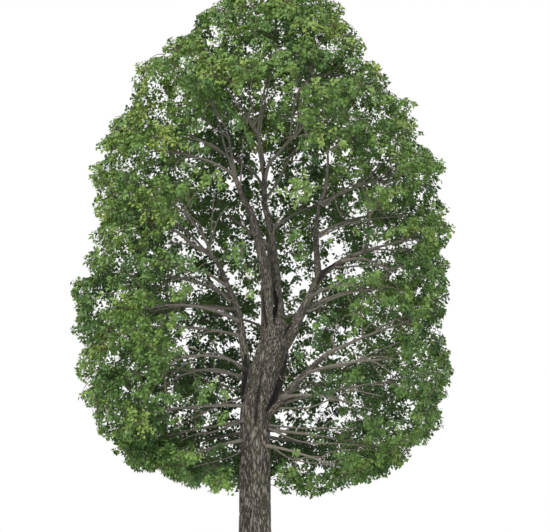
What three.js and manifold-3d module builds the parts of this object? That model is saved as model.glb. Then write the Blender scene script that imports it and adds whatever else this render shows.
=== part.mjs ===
// A poplar tree with a broad open crown: trunk, forking boughs and masses of leaves on thin branches.
// Millimetres, +X to the right, +Y to the back, +Z up, with the flat cut of the trunk at z = 0.

import * as THREE from 'three';
import { mergeVertices } from 'three/addons/utils/BufferGeometryUtils.js';
import Module from 'manifold-3d';

const wasm = await Module();
wasm.setup();

// Clearances
const seatGap = 0.3;
const cellMargin = 25;
const limbMargin = 110;

// Root flare: how far the foot stands out, how fast it dies away, and its ribs
const flareReach = 215;
const flareHeight = 620;
const flareRibs = 5;
const flareRibDepth = 0.34;
const flareTurn = 0.6;

// How far a rounded limb end closes in
const domeFall = 0.8;

// The long seam in the front of the trunk
const seamMiddle = [120, -500, 6290];
const seamHalfSize = [42, 95, 950];
const seamLean = 0.06;

// Branches that carry leaves: the stem of a mass, its twigs and its large leaves
const stemRadius = [56, 32];
const stemAgainstLimb = 0.7;
const stemAgainstTip = 0.85;
const tipSink = 8;
const stemSides = 3;
const stemRings = 4;
const stemSway = 0.0425;
const twigRadius = 12;
const twigThinning = 0.6;
const stalkRadius = 4;
const stalkLength = 60;
const sprayCount = 6;
const sprayAngle = 115;
const sprayReach = 2600;
const sprayLeast = 550;
const sprayLift = 900;
const twigShares = [0.985, 0.66];
const leafLength = [1080, 1380];
const leafMost = 0.85;
const leafWidth = 0.98;
const leafThickness = 0.06;
const triangleReach = Math.sqrt(3) / 2;
const leafWidest = 0.38;
const leafRolls = [0.95, -0.95, 1.45, -0.35, 0.35];
const sideLeafEvery = 2;
const sideLeafAngle = 62;
const sideLeafShare = 0.8;
const sideLeafSeat = 0.6;
const goldenAngle = 137.508;

// Depth of the crown against its width
const crownDepth = 0.97;

// How far the crown reaches to the left and right at each height
const crownOutline = [
  { height: 2850, left: -300, right: 1700 },
  { height: 3100, left: -900, right: 2800 },
  { height: 3450, left: -2700, right: 3850 },
  { height: 3900, left: -4150, right: 4800 },
  { height: 4500, left: -4850, right: 5450 },
  { height: 5300, left: -5550, right: 6200 },
  { height: 6300, left: -6050, right: 6500 },
  { height: 7200, left: -6050, right: 6720 },
  { height: 8300, left: -6100, right: 6400 },
  { height: 10300, left: -6250, right: 6500 },
  { height: 12300, left: -5700, right: 6730 },
  { height: 14000, left: -5750, right: 6450 },
  { height: 14900, left: -5250, right: 5950 },
  { height: 16300, left: -4350, right: 5350 },
  { height: 17300, left: -4080, right: 4350 },
  { height: 18000, left: -3500, right: 3980 },
  { height: 18900, left: -2450, right: 3250 },
  { height: 19800, left: -1300, right: 2700 },
  { height: 20500, left: -450, right: 2050 },
  { height: 21000, left: 500, right: 900 },
];

// Trunk and boughs: centre line, radius at foot and tip, and how the radius falls between them
const limbs = [
  {
    name: 'trunk', sides: 18, rings: 18, radii: [545, 330], taper: 0.37, dome: 0.93,
    path: [[0, 0, 0], [0, 0, 1700], [0, 0, 4200], [20, 0, 5900], [220, 0, 6800], [430, 0, 7600],
      [640, 0, 8350], [705, 0, 9050]],
  },
  {
    name: 'bough_left', sides: 9, rings: 15, radii: [195, 58], taper: 1.7, clearOf: ['trunk'],
    path: [[-160, -60, 5800], [-290, -90, 6500], [-306, -120, 7450], [-520, -200, 8942],
      [-714, -260, 9622], [-1020, -350, 10302], [-1224, -420, 10812], [-1564, -560, 11186],
      [-2040, -760, 11458], [-2618, -1000, 11934]],
  },
  {
    name: 'bough_right', sides: 9, rings: 12, radii: [225, 45], taper: 1.5, clearOf: ['trunk'],
    path: [[150, -40, 5450], [500, -120, 5850], [986, -230, 6324], [1428, -330, 6834],
      [1904, -450, 7310], [2448, -580, 7786], [3060, -720, 8092], [4150, -950, 8568]],
  },
  {
    name: 'bough_back', sides: 9, rings: 9, radii: [200, 70], taper: 1.3, clearOf: ['trunk'],
    path: [[60, 150, 5700], [200, 700, 6400], [350, 1350, 7400], [480, 2100, 8700],
      [520, 2800, 10000], [480, 3300, 11000]],
  },
  {
    name: 'leader_left', sides: 9, rings: 14, radii: [255, 28], taper: 1, clearOf: ['trunk'],
    path: [[440, 0, 8300], [440, -60, 9200], [400, -160, 9900], [370, -260, 10500],
      [100, -480, 11730], [-136, -640, 12550], [-374, -760, 13020], [-612, -900, 13630],
      [-780, -1020, 14450], [-880, -1100, 15100]],
  },
  {
    name: 'leader_middle', sides: 9, rings: 12, radii: [195, 84], taper: 1.2, dome: 0.97,
    clearOf: ['trunk', 'leader_left'],
    path: [[800, 60, 8300], [820, 140, 9280], [750, 240, 9960], [700, 360, 10740],
      [600, 460, 11390], [540, 560, 12000], [330, 700, 12920], [320, 840, 13700], [300, 930, 14210]],
  },
  {
    name: 'leader_right', sides: 9, rings: 8, radii: [225, 140], taper: 1.4, dome: 0.93,
    clearOf: ['trunk', 'leader_middle'],
    path: [[700, 60, 7700], [1050, 110, 8150], [1300, 170, 8600], [1540, 230, 9110],
      [1900, 330, 9790], [2210, 420, 10470]],
  },
  {
    name: 'fork_right_upper', sides: 8, rings: 9, radii: [136, 32], taper: 1, clearOf: ['leader_right'],
    path: [[2170, 400, 10280], [2130, 440, 10800], [2100, 500, 11220], [2080, 600, 12000],
      [2180, 700, 12780], [2380, 780, 13360], [2480, 850, 14110], [2480, 900, 14720]],
  },
  {
    name: 'fork_right_outer', sides: 8, rings: 6, radii: [134, 48], taper: 1,
    clearOf: ['leader_right', 'fork_right_upper'],
    path: [[2140, 390, 10300], [2400, 330, 10600], [2650, 250, 10760], [3090, 50, 11016],
      [3570, -200, 11220], [4080, -450, 11390]],
  },
  {
    name: 'fork_top_left', sides: 7, rings: 5, radii: [72, 26], taper: 1, clearOf: ['leader_middle'],
    path: [[312, 860, 13800], [150, 960, 14720], [100, 1000, 15230], [-200, 1080, 15810],
      [-560, 1150, 16350]],
  },
  {
    name: 'fork_top_right', sides: 7, rings: 5, radii: [68, 28], taper: 1,
    clearOf: ['leader_middle', 'fork_top_left'],
    path: [[321, 822, 13620], [470, 800, 14250], [816, 640, 14654], [1190, 420, 15096],
      [1500, 250, 15350]],
  },
];

// Masses of leaves: name, the limb that carries the stem, the height where the stem leaves it (null
// at the limb's tip), bearing in degrees from +X towards +Y, how far out it runs, its rise and its arch
const massRows = [
  ['low_left_front', 'trunk', 4900, 215, 3600, -850, 150],
  ['low_left', 'trunk', 5520, 176, 3750, -750, 100],
  ['low_right_front', 'trunk', 4700, 314, 3600, -550, 100],
  ['low_right', 'trunk', 5250, 358, 4200, -600, 60],
  ['low_back_right', 'trunk', 5000, 48, 3600, -600, 100],
  ['low_back', 'trunk', 4700, 95, 3400, -450, 100],
  ['low_back_left', 'trunk', 5150, 136, 3500, -650, 100],
  ['lower_left_front', 'trunk', 6000, 203, 4200, -250, 150],
  ['side_left_back', 'bough_left', 7000, 158, 4300, -150, 300],
  ['side_left_front', 'bough_left', 7240, 230, 4200, 150, 450],
  ['back_left', 'trunk', 6300, 120, 4200, 500, 100],
  ['back_middle', 'bough_back', 7000, 84, 3000, -100, 100],
  ['back_right', 'trunk', 6200, 38, 4400, 700, 100],
  ['side_right', 'bough_right', 6050, 10, 4100, 800, 100],
  ['side_right_front', 'bough_right', 7150, 324, 3400, 500, 100],
  ['front_right', 'bough_right', 6300, 303, 3700, -50, 150],
  ['middle_left', 'bough_left', 8400, 187, 4000, 200, 200],
  ['middle_left_front', 'bough_left', 8900, 222, 4200, 450, 300],
  ['middle_left_back', 'bough_left', 9650, 163, 3700, 800, 300],
  ['back_left_middle', 'bough_left', 9300, 138, 4100, -200, 200],
  ['middle_right', 'leader_right', 9250, 22, 3500, 700, 300],
  ['bough_right_tip', 'bough_right', null, 348, 1100, 350, 0],
  ['bough_back_tip', 'bough_back', null, 95, 1050, 900, 0],
  ['middle_back_right', 'bough_back', 8800, 40, 3300, 500, 150],
  ['middle_back_left', 'bough_back', 8500, 132, 2900, 600, 150],
  ['front_left_middle', 'bough_left', 10100, 248, 3800, 500, 200],
  ['front_right_middle', 'leader_right', 9700, 292, 4200, 400, 200],
  ['right_front_upper', 'fork_right_outer', 10950, 305, 2700, -300, 200],
  ['fork_right_tip', 'fork_right_outer', null, 350, 1250, 350, 0],
  ['right_back_upper', 'fork_right_upper', 11800, 30, 3200, 700, 250],
  ['right_upper', 'fork_right_upper', 12900, 350, 2700, 1000, 100],
  ['fork_upper_tip', 'fork_right_upper', null, 20, 1300, 500, 60],
  ['front_right_upper', 'fork_right_outer', 11250, 277, 3000, 1500, 100],
  ['back_right_upper', 'leader_middle', 12000, 58, 3700, 900, 200],
  ['back_left_upper', 'leader_middle', 11400, 126, 4000, 1300, 200],
  ['bough_left_tip', 'bough_left', null, 200, 1200, 400, 0],
  ['left_back_upper', 'bough_left', 11250, 142, 2800, 1600, 200],
  ['left_front_upper', 'bough_left', 11100, 250, 2700, 1500, 200],
  ['high_left_front', 'leader_left', 13850, 202, 2800, 800, 200],
  ['high_left_back', 'leader_left', 14400, 145, 2900, 1000, 200],
  ['leader_left_tip', 'leader_left', null, 245, 1300, 1300, 0],
  ['high_back_left', 'leader_middle', 13400, 118, 3000, 1400, 150],
  ['high_back_right', 'leader_middle', 13000, 64, 3200, 2100, 150],
  ['fork_top_right_tip', 'fork_top_right', null, 8, 1500, 1500, 100],
  ['high_front_right', 'fork_top_right', 14900, 288, 3200, 900, 100],
  ['fork_top_left_tip', 'fork_top_left', null, 150, 900, 900, 0],
  ['top_right', 'fork_top_right', 15250, 325, 900, 3000, 0],
  ['top', 'fork_top_left', 15300, 310, 1150, 4300, 0],
];

// Finishes
const barkFinish = { color: 0x746a5c, roughness: 0.95, metalness: 0 };
const leafFinish = { color: 0x4f7f2f, roughness: 0.6, metalness: 0 };

const degrees = Math.PI / 180;
const up = new THREE.Vector3(0, 0, 1);
const masses = massRows.map(([name, on, at, bearing, reach, rise, arch]) => ({
  name, at, bearing, reach, rise, arch, limb: limbs.find((limb) => limb.name === on),
}));

// A closed solid from a geometry
function solidOf(geometry) {
  const bare = geometry.clone();
  bare.deleteAttribute('normal');
  bare.deleteAttribute('uv');
  const merged = mergeVertices(bare, 1e-4);
  const mesh = new wasm.Mesh({
    numProp: 3,
    vertProperties: new Float32Array(merged.attributes.position.array),
    triVerts: new Uint32Array(merged.index.array),
  });
  return new wasm.Manifold(mesh);
}

// A geometry from a closed solid
function geometryOf(solid) {
  const { vertProperties, triVerts } = solid.getMesh();
  const geometry = new THREE.BufferGeometry();
  geometry.setAttribute('position', new THREE.BufferAttribute(new Float32Array(vertProperties), 3));
  geometry.setIndex(new THREE.BufferAttribute(new Uint32Array(triVerts), 1));
  geometry.computeVertexNormals();
  return geometry;
}

// A repeatable number from 0 to 1 for each pair of numbers
function chance(first, second) {
  const wave = Math.sin(first * 12.9898 + second * 78.233) * 43758.5453;
  return wave - Math.floor(wave);
}

function mix(from, to, share) {
  return from + (to - from) * share;
}

function curveOf(path) {
  const points = path.map(([x, y, z]) => new THREE.Vector3(x, y, z));
  return new THREE.CatmullRomCurve3(points, false, 'catmullrom', 0.5);
}

// Radius of a limb at a share of the way from its foot to its tip
function limbRadius(limb, share) {
  const [foot, tip] = limb.radii;
  const radius = tip + (foot - tip) * Math.pow(1 - share, limb.taper ?? 1);
  if (limb.dome && share > limb.dome) {
    const over = (share - limb.dome) / (1 - limb.dome);
    return radius * Math.sqrt(1 - domeFall * over * over);
  }
  return radius;
}

// Extra radius of the trunk's foot at a height and a bearing
function rootFlare(height, bearing) {
  const fall = Math.exp(-height / flareHeight);
  return flareReach * fall * (1 + flareRibDepth * fall * Math.cos(flareRibs * bearing + flareTurn));
}

// Bends an upright cylinder along a curve and sizes each ring, with its ends pushed out by a little
function tubeAlong(curve, sides, rings, radiusAt, endPush = 0) {
  const geometry = new THREE.CylinderGeometry(1, 1, 1, sides, rings);
  const position = geometry.attributes.position;
  for (let i = 0; i < position.count; i += 1) {
    const share = Math.min(1, Math.max(0, position.getY(i) + 0.5));
    const along = curve.getTangent(share);
    const middle = curve.getPoint(share).addScaledVector(along, endPush * (2 * share - 1));
    const across = new THREE.Vector3(1, 0, 0).cross(along).normalize();
    const side = new THREE.Vector3().crossVectors(along, across).normalize();
    const turn = Math.atan2(position.getZ(i), position.getX(i));
    const spread = Math.hypot(position.getX(i), position.getZ(i)) * radiusAt(share, turn);
    middle.addScaledVector(across, Math.cos(turn) * spread);
    middle.addScaledVector(side, Math.sin(turn) * -spread);
    position.setXYZ(i, middle.x, middle.y, middle.z);
  }
  return geometry;
}

// A limb as a solid, with extra radius where it is used to cut its neighbours
function limbSolid(limb, extra = 0) {
  const isTrunk = limb.name === 'trunk';
  const radiusAt = (share, turn) => {
    const height = limb.curve.getPoint(share).z;
    const flare = isTrunk ? rootFlare(height, turn) : 0;
    return limbRadius(limb, share) + flare + extra;
  };
  return solidOf(tubeAlong(limb.curve, limb.sides, limb.rings, radiusAt, extra));
}

// The slit that opens the bark along the front of the trunk
function seamSolid() {
  const lens = new THREE.OctahedronGeometry(1, 0);
  lens.scale(...seamHalfSize);
  lens.rotateY(seamLean);
  lens.translate(...seamMiddle);
  return solidOf(lens);
}

// The share of the way along a limb where it passes a height
function shareAtHeight(limb, height) {
  let low = 0;
  let high = 1;
  for (let i = 0; i < 30; i += 1) {
    const middle = (low + high) / 2;
    if (limb.curve.getPoint(middle).z < height) {
      low = middle;
    } else {
      high = middle;
    }
  }
  return low;
}

// Points and radii along a limb or stem, used to keep leaves and twigs clear of it
function tracePoints(curve, radiusAt, count) {
  const trace = [];
  for (let i = 0; i <= count; i += 1) {
    trace.push({ point: curve.getPoint(i / count), radius: radiusAt(i / count) });
  }
  return trace;
}

// Distance from a point to the surface of a traced limb
function distanceToTrace(point, trace) {
  let least = Infinity;
  const closest = new THREE.Vector3();
  for (let i = 1; i < trace.length; i += 1) {
    const line = new THREE.Line3(trace[i - 1].point, trace[i].point);
    line.closestPointToPoint(point, true, closest);
    least = Math.min(least, closest.distanceTo(point) - trace[i - 1].radius);
  }
  return least;
}

// Middle and half width of the crown at a height
function crownAt(height) {
  for (let i = 1; i < crownOutline.length; i += 1) {
    const below = crownOutline[i - 1];
    const above = crownOutline[i];
    if (height >= below.height && height <= above.height) {
      const share = (height - below.height) / (above.height - below.height);
      const left = mix(below.left, above.left, share);
      const right = mix(below.right, above.right, share);
      return { middle: (left + right) / 2, half: (right - left) / 2 };
    }
  }
  return { middle: 0, half: 0 };
}

function insideCrown(point) {
  const { middle, half } = crownAt(point.z);
  return Math.hypot(point.x - middle, point.y / crownDepth) < half;
}

// The space of a mass: nearer to its own middle than to any other, and inside the crown
function insideOwnSpace(point, mass) {
  if (!insideCrown(point)) {
    return false;
  }
  const own = point.distanceToSquared(mass.middle);
  return masses.every((other) => {
    const apart = other.middle.distanceTo(mass.middle);
    return other === mass || point.distanceToSquared(other.middle) - own > 2 * apart * cellMargin;
  });
}

// How far a ray from the middle of a mass runs before it leaves the mass's space
function reachInSpace(mass, direction) {
  const step = 50;
  const point = mass.middle.clone();
  for (let far = 0; far < sprayReach; far += step) {
    point.addScaledVector(direction, step);
    if (!insideOwnSpace(point, mass)) {
      return far;
    }
  }
  return sprayReach;
}

// The stem of a mass, from its limb's middle line or tip to the middle of the mass
function stemCurve(mass) {
  const { curve } = mass.limb;
  const share = mass.at === null ? 1 : shareAtHeight(mass.limb, mass.at);
  const root = curve.getPoint(share);
  if (mass.at === null) {
    root.addScaledVector(curve.getTangent(1), -tipSink);
  }
  const bearing = mass.bearing * degrees;
  const outward = new THREE.Vector3(Math.cos(bearing), Math.sin(bearing), 0);
  const aside = new THREE.Vector3(-Math.sin(bearing), Math.cos(bearing), 0);
  const path = [0, 0.25, 0.5, 0.75, 1].map((along) => {
    const point = root.clone().addScaledVector(outward, mass.reach * along);
    const sway = stemSway * mass.reach * Math.sin(along * Math.PI * 2);
    point.addScaledVector(aside, sway * (chance(mass.reach, mass.bearing) - 0.5) * 2);
    point.z += mass.rise * along + mass.arch * 4 * along * (1 - along);
    return point.toArray();
  });
  return curveOf(path);
}

// The foot of a stem is a little thinner than the limb or the limb's tip that carries it
function stemFoot(mass) {
  const { limb } = mass;
  if (mass.at === null) {
    return limbRadius(limb, 1) * stemAgainstTip;
  }
  return Math.min(stemRadius[0], limbRadius(limb, shareAtHeight(limb, mass.at)) * stemAgainstLimb);
}

function stemRadiusAt(mass, share) {
  return mix(mass.foot, Math.min(mass.foot, stemRadius[1]), share);
}

// A point on the straight stretches between a stem's rings
function stemPoint(mass, share) {
  const place = share * stemRings;
  const ring = Math.min(stemRings - 1, Math.floor(place));
  const from = mass.curve.getPoint(ring / stemRings);
  return from.lerp(mass.curve.getPoint((ring + 1) / stemRings), place - ring);
}

// Turns a piece that grows along +X, flat in its XY plane, to lie along a direction
function placed(geometry, root, direction, roll) {
  const level = new THREE.Vector3().crossVectors(up, direction).normalize();
  const face = new THREE.Vector3().crossVectors(direction, level).normalize();
  geometry.applyMatrix4(new THREE.Matrix4().makeRotationX(roll));
  geometry.applyMatrix4(new THREE.Matrix4().makeBasis(direction, level, face));
  geometry.translate(root.x, root.y, root.z);
  return geometry;
}

// A three-sided closed form drawn out along its rings to a point
function ringedGeometry(rings, root, direction, roll) {
  const steps = rings.length - 1;
  const form = new THREE.ConeGeometry(1, 1, 3, steps);
  const position = form.attributes.position;
  for (let i = 0; i < position.count; i += 1) {
    const ring = rings[Math.round((position.getY(i) + 0.5) * steps)];
    const across = position.getX(i) * ring.across;
    position.setXYZ(i, ring.along, across, -position.getZ(i) * ring.deep);
  }
  return placed(form, root, direction, roll);
}

// The widest place and the tip of a pointed leaf that starts at a distance from its form's root
function leafRings(start, length) {
  const half = length * leafWidth / 2;
  return [
    { along: start + length * leafWidest, across: half / triangleReach, deep: half * leafThickness },
    { along: start + length, across: 0, deep: 0 },
  ];
}

function leafGeometry(root, direction, length, roll) {
  const foot = { along: 0, across: stalkRadius, deep: stalkRadius };
  return ringedGeometry([foot, ...leafRings(0, length)], root, direction, roll);
}

// A twig that widens into the leaf on its end, without a joint between them
function sprayGeometry(root, direction, twigLength, length, roll) {
  const foot = { along: 0, across: twigRadius, deep: twigRadius };
  const thin = twigRadius * twigThinning;
  const end = { along: twigLength, across: thin, deep: thin };
  return ringedGeometry([foot, end, ...leafRings(twigLength, length)], root, direction, roll);
}

// Points spread over a piece, for the tests of its space
function piecePoints(geometry) {
  const { position } = geometry.toNonIndexed().attributes;
  const points = [];
  for (let i = 0; i < position.count; i += 3) {
    const [a, b, c] = [0, 1, 2].map((n) => new THREE.Vector3().fromBufferAttribute(position, i + n));
    for (const share of [0, 0.2, 0.4, 0.6, 0.8]) {
      points.push(a.clone().lerp(b, share));
      points.push(b.clone().lerp(c, share));
      points.push(c.clone().lerp(a, share));
    }
  }
  return points;
}

function insideSpaceOf(geometry, mass) {
  return piecePoints(geometry).every((point) => insideOwnSpace(point, mass));
}

// Whether a piece keeps clear of all limbs and of the stems of other masses
function clearOfLimbs(geometry, mass) {
  const others = obstacles.filter((other) => other.owner !== mass && other.owner !== mass.limb);
  return piecePoints(geometry).every((point) => others.every((other) => (
    distanceToTrace(point, other.trace) > limbMargin)));
}

// Directions spread evenly round the outward side of a mass
function sprayDirection(mass, number) {
  const { middle } = crownAt(mass.middle.z);
  const outward = new THREE.Vector3(mass.middle.x - middle, mass.middle.y, sprayLift).normalize();
  const spread = number / (sprayCount - 0.5);
  const slope = Math.acos(1 - spread * (1 - Math.cos(sprayAngle * degrees)));
  const turn = (number * goldenAngle + mass.bearing) * degrees;
  const level = new THREE.Vector3().crossVectors(up, outward).normalize();
  const tilt = new THREE.Vector3().crossVectors(outward, level).normalize();
  const direction = outward.multiplyScalar(Math.cos(slope));
  direction.addScaledVector(level, Math.sin(slope) * Math.cos(turn));
  direction.addScaledVector(tilt, Math.sin(slope) * Math.sin(turn));
  return { direction, share: mix(...twigShares, number / sprayCount) };
}

// The first of several rolls at which a piece fits its space and crosses nothing that is there
function fitted(mass, taken, shape) {
  for (const roll of leafRolls) {
    const { geometry, blade } = shape(roll);
    const hasRoom = insideSpaceOf(blade, mass) && clearOfLimbs(geometry, mass);
    if (hasRoom && taken.intersect(solidOf(blade)).isEmpty()) {
      return solidOf(geometry);
    }
  }
  return null;
}

// Adds one twig with a leaf on its end, and a leaf on its side where there is room
function withSpray(mass, solid, number) {
  const { direction, share } = sprayDirection(mass, number);
  const far = reachInSpace(mass, direction) - cellMargin;
  if (far < sprayLeast) {
    return solid;
  }
  const root = stemPoint(mass, share);
  const run = mass.middle.clone().addScaledVector(direction, far).sub(root);
  const reach = run.length();
  run.normalize();
  const length = Math.min(reach * leafMost, mix(...leafLength, chance(number, mass.reach)));
  const endSpray = fitted(mass, solid, (roll) => ({
    geometry: sprayGeometry(root, run, reach - length, length, roll),
    blade: leafGeometry(root.clone().addScaledVector(run, reach - length), run, length, roll),
  }));
  if (!endSpray) {
    return solid;
  }
  const grown = solid.add(endSpray);
  if (number % sideLeafEvery === 0) {
    return grown;
  }
  const swing = new THREE.Vector3().crossVectors(run, up).normalize();
  swing.applyAxisAngle(run, number * goldenAngle * degrees);
  const sideways = run.clone().applyAxisAngle(swing, sideLeafAngle * degrees);
  const seat = root.clone().addScaledVector(run, (reach - length) * sideLeafSeat);
  const bladeRoot = seat.clone().addScaledVector(sideways, stalkLength);
  const sideLength = length * sideLeafShare;
  const sideLeaf = fitted(mass, grown, (roll) => ({
    geometry: leafGeometry(seat, sideways, sideLength, roll),
    blade: leafGeometry(bladeRoot, sideways, sideLength - stalkLength, roll),
  }));
  return sideLeaf ? grown.add(sideLeaf) : grown;
}

// The stem, twigs and leaves of a mass as one solid, cut clear of the limb that carries it
function massSolid(mass) {
  let solid = solidOf(tubeAlong(mass.curve, stemSides, stemRings, (share) => stemRadiusAt(mass, share)));
  for (let number = 0; number < sprayCount; number += 1) {
    solid = withSpray(mass, solid, number);
  }
  return solid.subtract(limbSolid(mass.limb, seatGap));
}

function limbWithSeats(limb) {
  let solid = limbSolid(limb);
  for (const name of limb.clearOf ?? []) {
    solid = solid.subtract(limbSolid(limbs.find((other) => other.name === name), seatGap));
  }
  if (limb.name === 'trunk') {
    solid = solid.subtract(seamSolid());
  }
  return solid;
}

function addPart(parent, name, solid, finish) {
  const mesh = new THREE.Mesh(geometryOf(solid), new THREE.MeshStandardMaterial(finish));
  mesh.name = name;
  parent.add(mesh);
}

for (const limb of limbs) {
  limb.curve = curveOf(limb.path);
}
for (const mass of masses) {
  mass.curve = stemCurve(mass);
  mass.foot = stemFoot(mass);
  mass.middle = mass.curve.getPoint(1);
}
const obstacles = [
  ...limbs.map((limb) => ({
    owner: limb,
    trace: tracePoints(limb.curve, (share) => limbRadius(limb, share), 16),
  })),
  ...masses.map((mass) => ({
    owner: mass,
    trace: tracePoints(mass.curve, (share) => stemRadiusAt(mass, share), 6),
  })),
];

const group = new THREE.Group();
const wood = new THREE.Group();
const foliage = new THREE.Group();
for (const limb of limbs) {
  addPart(wood, limb.name, limbWithSeats(limb), barkFinish);
}
for (const mass of masses) {
  addPart(foliage, `foliage_${mass.name}`, massSolid(mass), leafFinish);
}
group.add(wood, foliage);

export default group;
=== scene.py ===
import math

import bmesh
import bpy
import numpy as np
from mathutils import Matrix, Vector


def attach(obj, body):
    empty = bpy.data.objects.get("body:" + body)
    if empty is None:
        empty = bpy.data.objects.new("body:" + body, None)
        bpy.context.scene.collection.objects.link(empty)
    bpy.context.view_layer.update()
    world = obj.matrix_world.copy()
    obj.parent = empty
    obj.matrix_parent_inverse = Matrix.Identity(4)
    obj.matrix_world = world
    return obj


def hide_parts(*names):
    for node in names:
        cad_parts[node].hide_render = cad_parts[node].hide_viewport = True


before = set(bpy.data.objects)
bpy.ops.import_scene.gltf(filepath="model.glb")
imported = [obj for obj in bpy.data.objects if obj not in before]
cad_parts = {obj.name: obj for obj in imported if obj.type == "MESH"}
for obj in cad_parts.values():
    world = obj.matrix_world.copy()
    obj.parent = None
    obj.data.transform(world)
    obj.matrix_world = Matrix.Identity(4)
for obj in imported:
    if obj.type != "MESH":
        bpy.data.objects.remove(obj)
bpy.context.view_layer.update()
chanceSource = np.random.default_rng(41)
print("frame loaded")

# Metres, +X right, +Y back, +Z up, trunk's flat cut at z = 0.

limbs = {
    "trunk": dict(radii=(0.545, 0.33), taper=0.37, dome=0.93, sides=80,
                  path=[(0, 0, 0), (0, 0, 1.7), (0, 0, 4.2), (0.02, 0, 5.9), (0.22, 0, 6.8),
                        (0.43, 0, 7.6), (0.64, 0, 8.35), (0.705, 0, 9.05)]),
    "bough_left": dict(radii=(0.195, 0.058), taper=1.7,
                       path=[(-0.16, -0.06, 5.8), (-0.29, -0.09, 6.5), (-0.306, -0.12, 7.45),
                             (-0.52, -0.2, 8.942), (-0.714, -0.26, 9.622), (-1.02, -0.35, 10.302),
                             (-1.224, -0.42, 10.812), (-1.564, -0.56, 11.186),
                             (-2.04, -0.76, 11.458), (-2.618, -1.0, 11.934)]),
    "bough_right": dict(radii=(0.225, 0.045), taper=1.5,
                        path=[(0.15, -0.04, 5.45), (0.5, -0.12, 5.85), (0.986, -0.23, 6.324),
                              (1.428, -0.33, 6.834), (1.904, -0.45, 7.31), (2.448, -0.58, 7.786),
                              (3.06, -0.72, 8.092), (4.15, -0.95, 8.568)]),
    "bough_back": dict(radii=(0.2, 0.07), taper=1.3,
                       path=[(0.06, 0.15, 5.7), (0.2, 0.7, 6.4), (0.35, 1.35, 7.4),
                             (0.48, 2.1, 8.7), (0.52, 2.8, 10), (0.48, 3.3, 11)]),
    "leader_left": dict(radii=(0.255, 0.028), taper=1,
                        path=[(0.44, 0, 8.3), (0.44, -0.06, 9.2), (0.4, -0.16, 9.9),
                              (0.37, -0.26, 10.5), (0.1, -0.48, 11.73), (-0.136, -0.64, 12.55),
                              (-0.374, -0.76, 13.02), (-0.612, -0.9, 13.63),
                              (-0.78, -1.02, 14.45), (-0.88, -1.1, 15.1)]),
    "leader_middle": dict(radii=(0.195, 0.084), taper=1.2, dome=0.97,
                          path=[(0.8, 0.06, 8.3), (0.82, 0.14, 9.28), (0.75, 0.24, 9.96),
                                (0.7, 0.36, 10.74), (0.6, 0.46, 11.39), (0.54, 0.56, 12),
                                (0.33, 0.7, 12.92), (0.32, 0.84, 13.7), (0.3, 0.93, 14.21)]),
    "leader_right": dict(radii=(0.225, 0.14), taper=1.4, dome=0.93,
                         path=[(0.7, 0.06, 7.7), (1.05, 0.11, 8.15), (1.3, 0.17, 8.6),
                               (1.54, 0.23, 9.11), (1.9, 0.33, 9.79), (2.21, 0.42, 10.47)]),
    "fork_right_upper": dict(radii=(0.136, 0.032), taper=1,
                             path=[(2.17, 0.4, 10.28), (2.13, 0.44, 10.8), (2.1, 0.5, 11.22),
                                   (2.08, 0.6, 12), (2.18, 0.7, 12.78), (2.38, 0.78, 13.36),
                                   (2.48, 0.85, 14.11), (2.48, 0.9, 14.72)]),
    "fork_right_outer": dict(radii=(0.134, 0.048), taper=1,
                             path=[(2.14, 0.39, 10.3), (2.4, 0.33, 10.6), (2.65, 0.25, 10.76),
                                   (3.09, 0.05, 11.016), (3.57, -0.2, 11.22), (4.08, -0.45, 11.39)]),
    "fork_top_left": dict(radii=(0.072, 0.026), taper=1,
                          path=[(0.312, 0.86, 13.8), (0.15, 0.96, 14.72), (0.1, 1.0, 15.23),
                                (-0.2, 1.08, 15.81), (-0.56, 1.15, 16.35)]),
    "fork_top_right": dict(radii=(0.068, 0.028), taper=1,
                           path=[(0.321, 0.822, 13.62), (0.47, 0.8, 14.25), (0.816, 0.64, 14.654),
                                 (1.19, 0.42, 15.096), (1.5, 0.25, 15.35)]),
}
rootFlare = dict(reach=0.215, height=0.62, ribs=5, ribDepth=0.34, turn=0.6)

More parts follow.
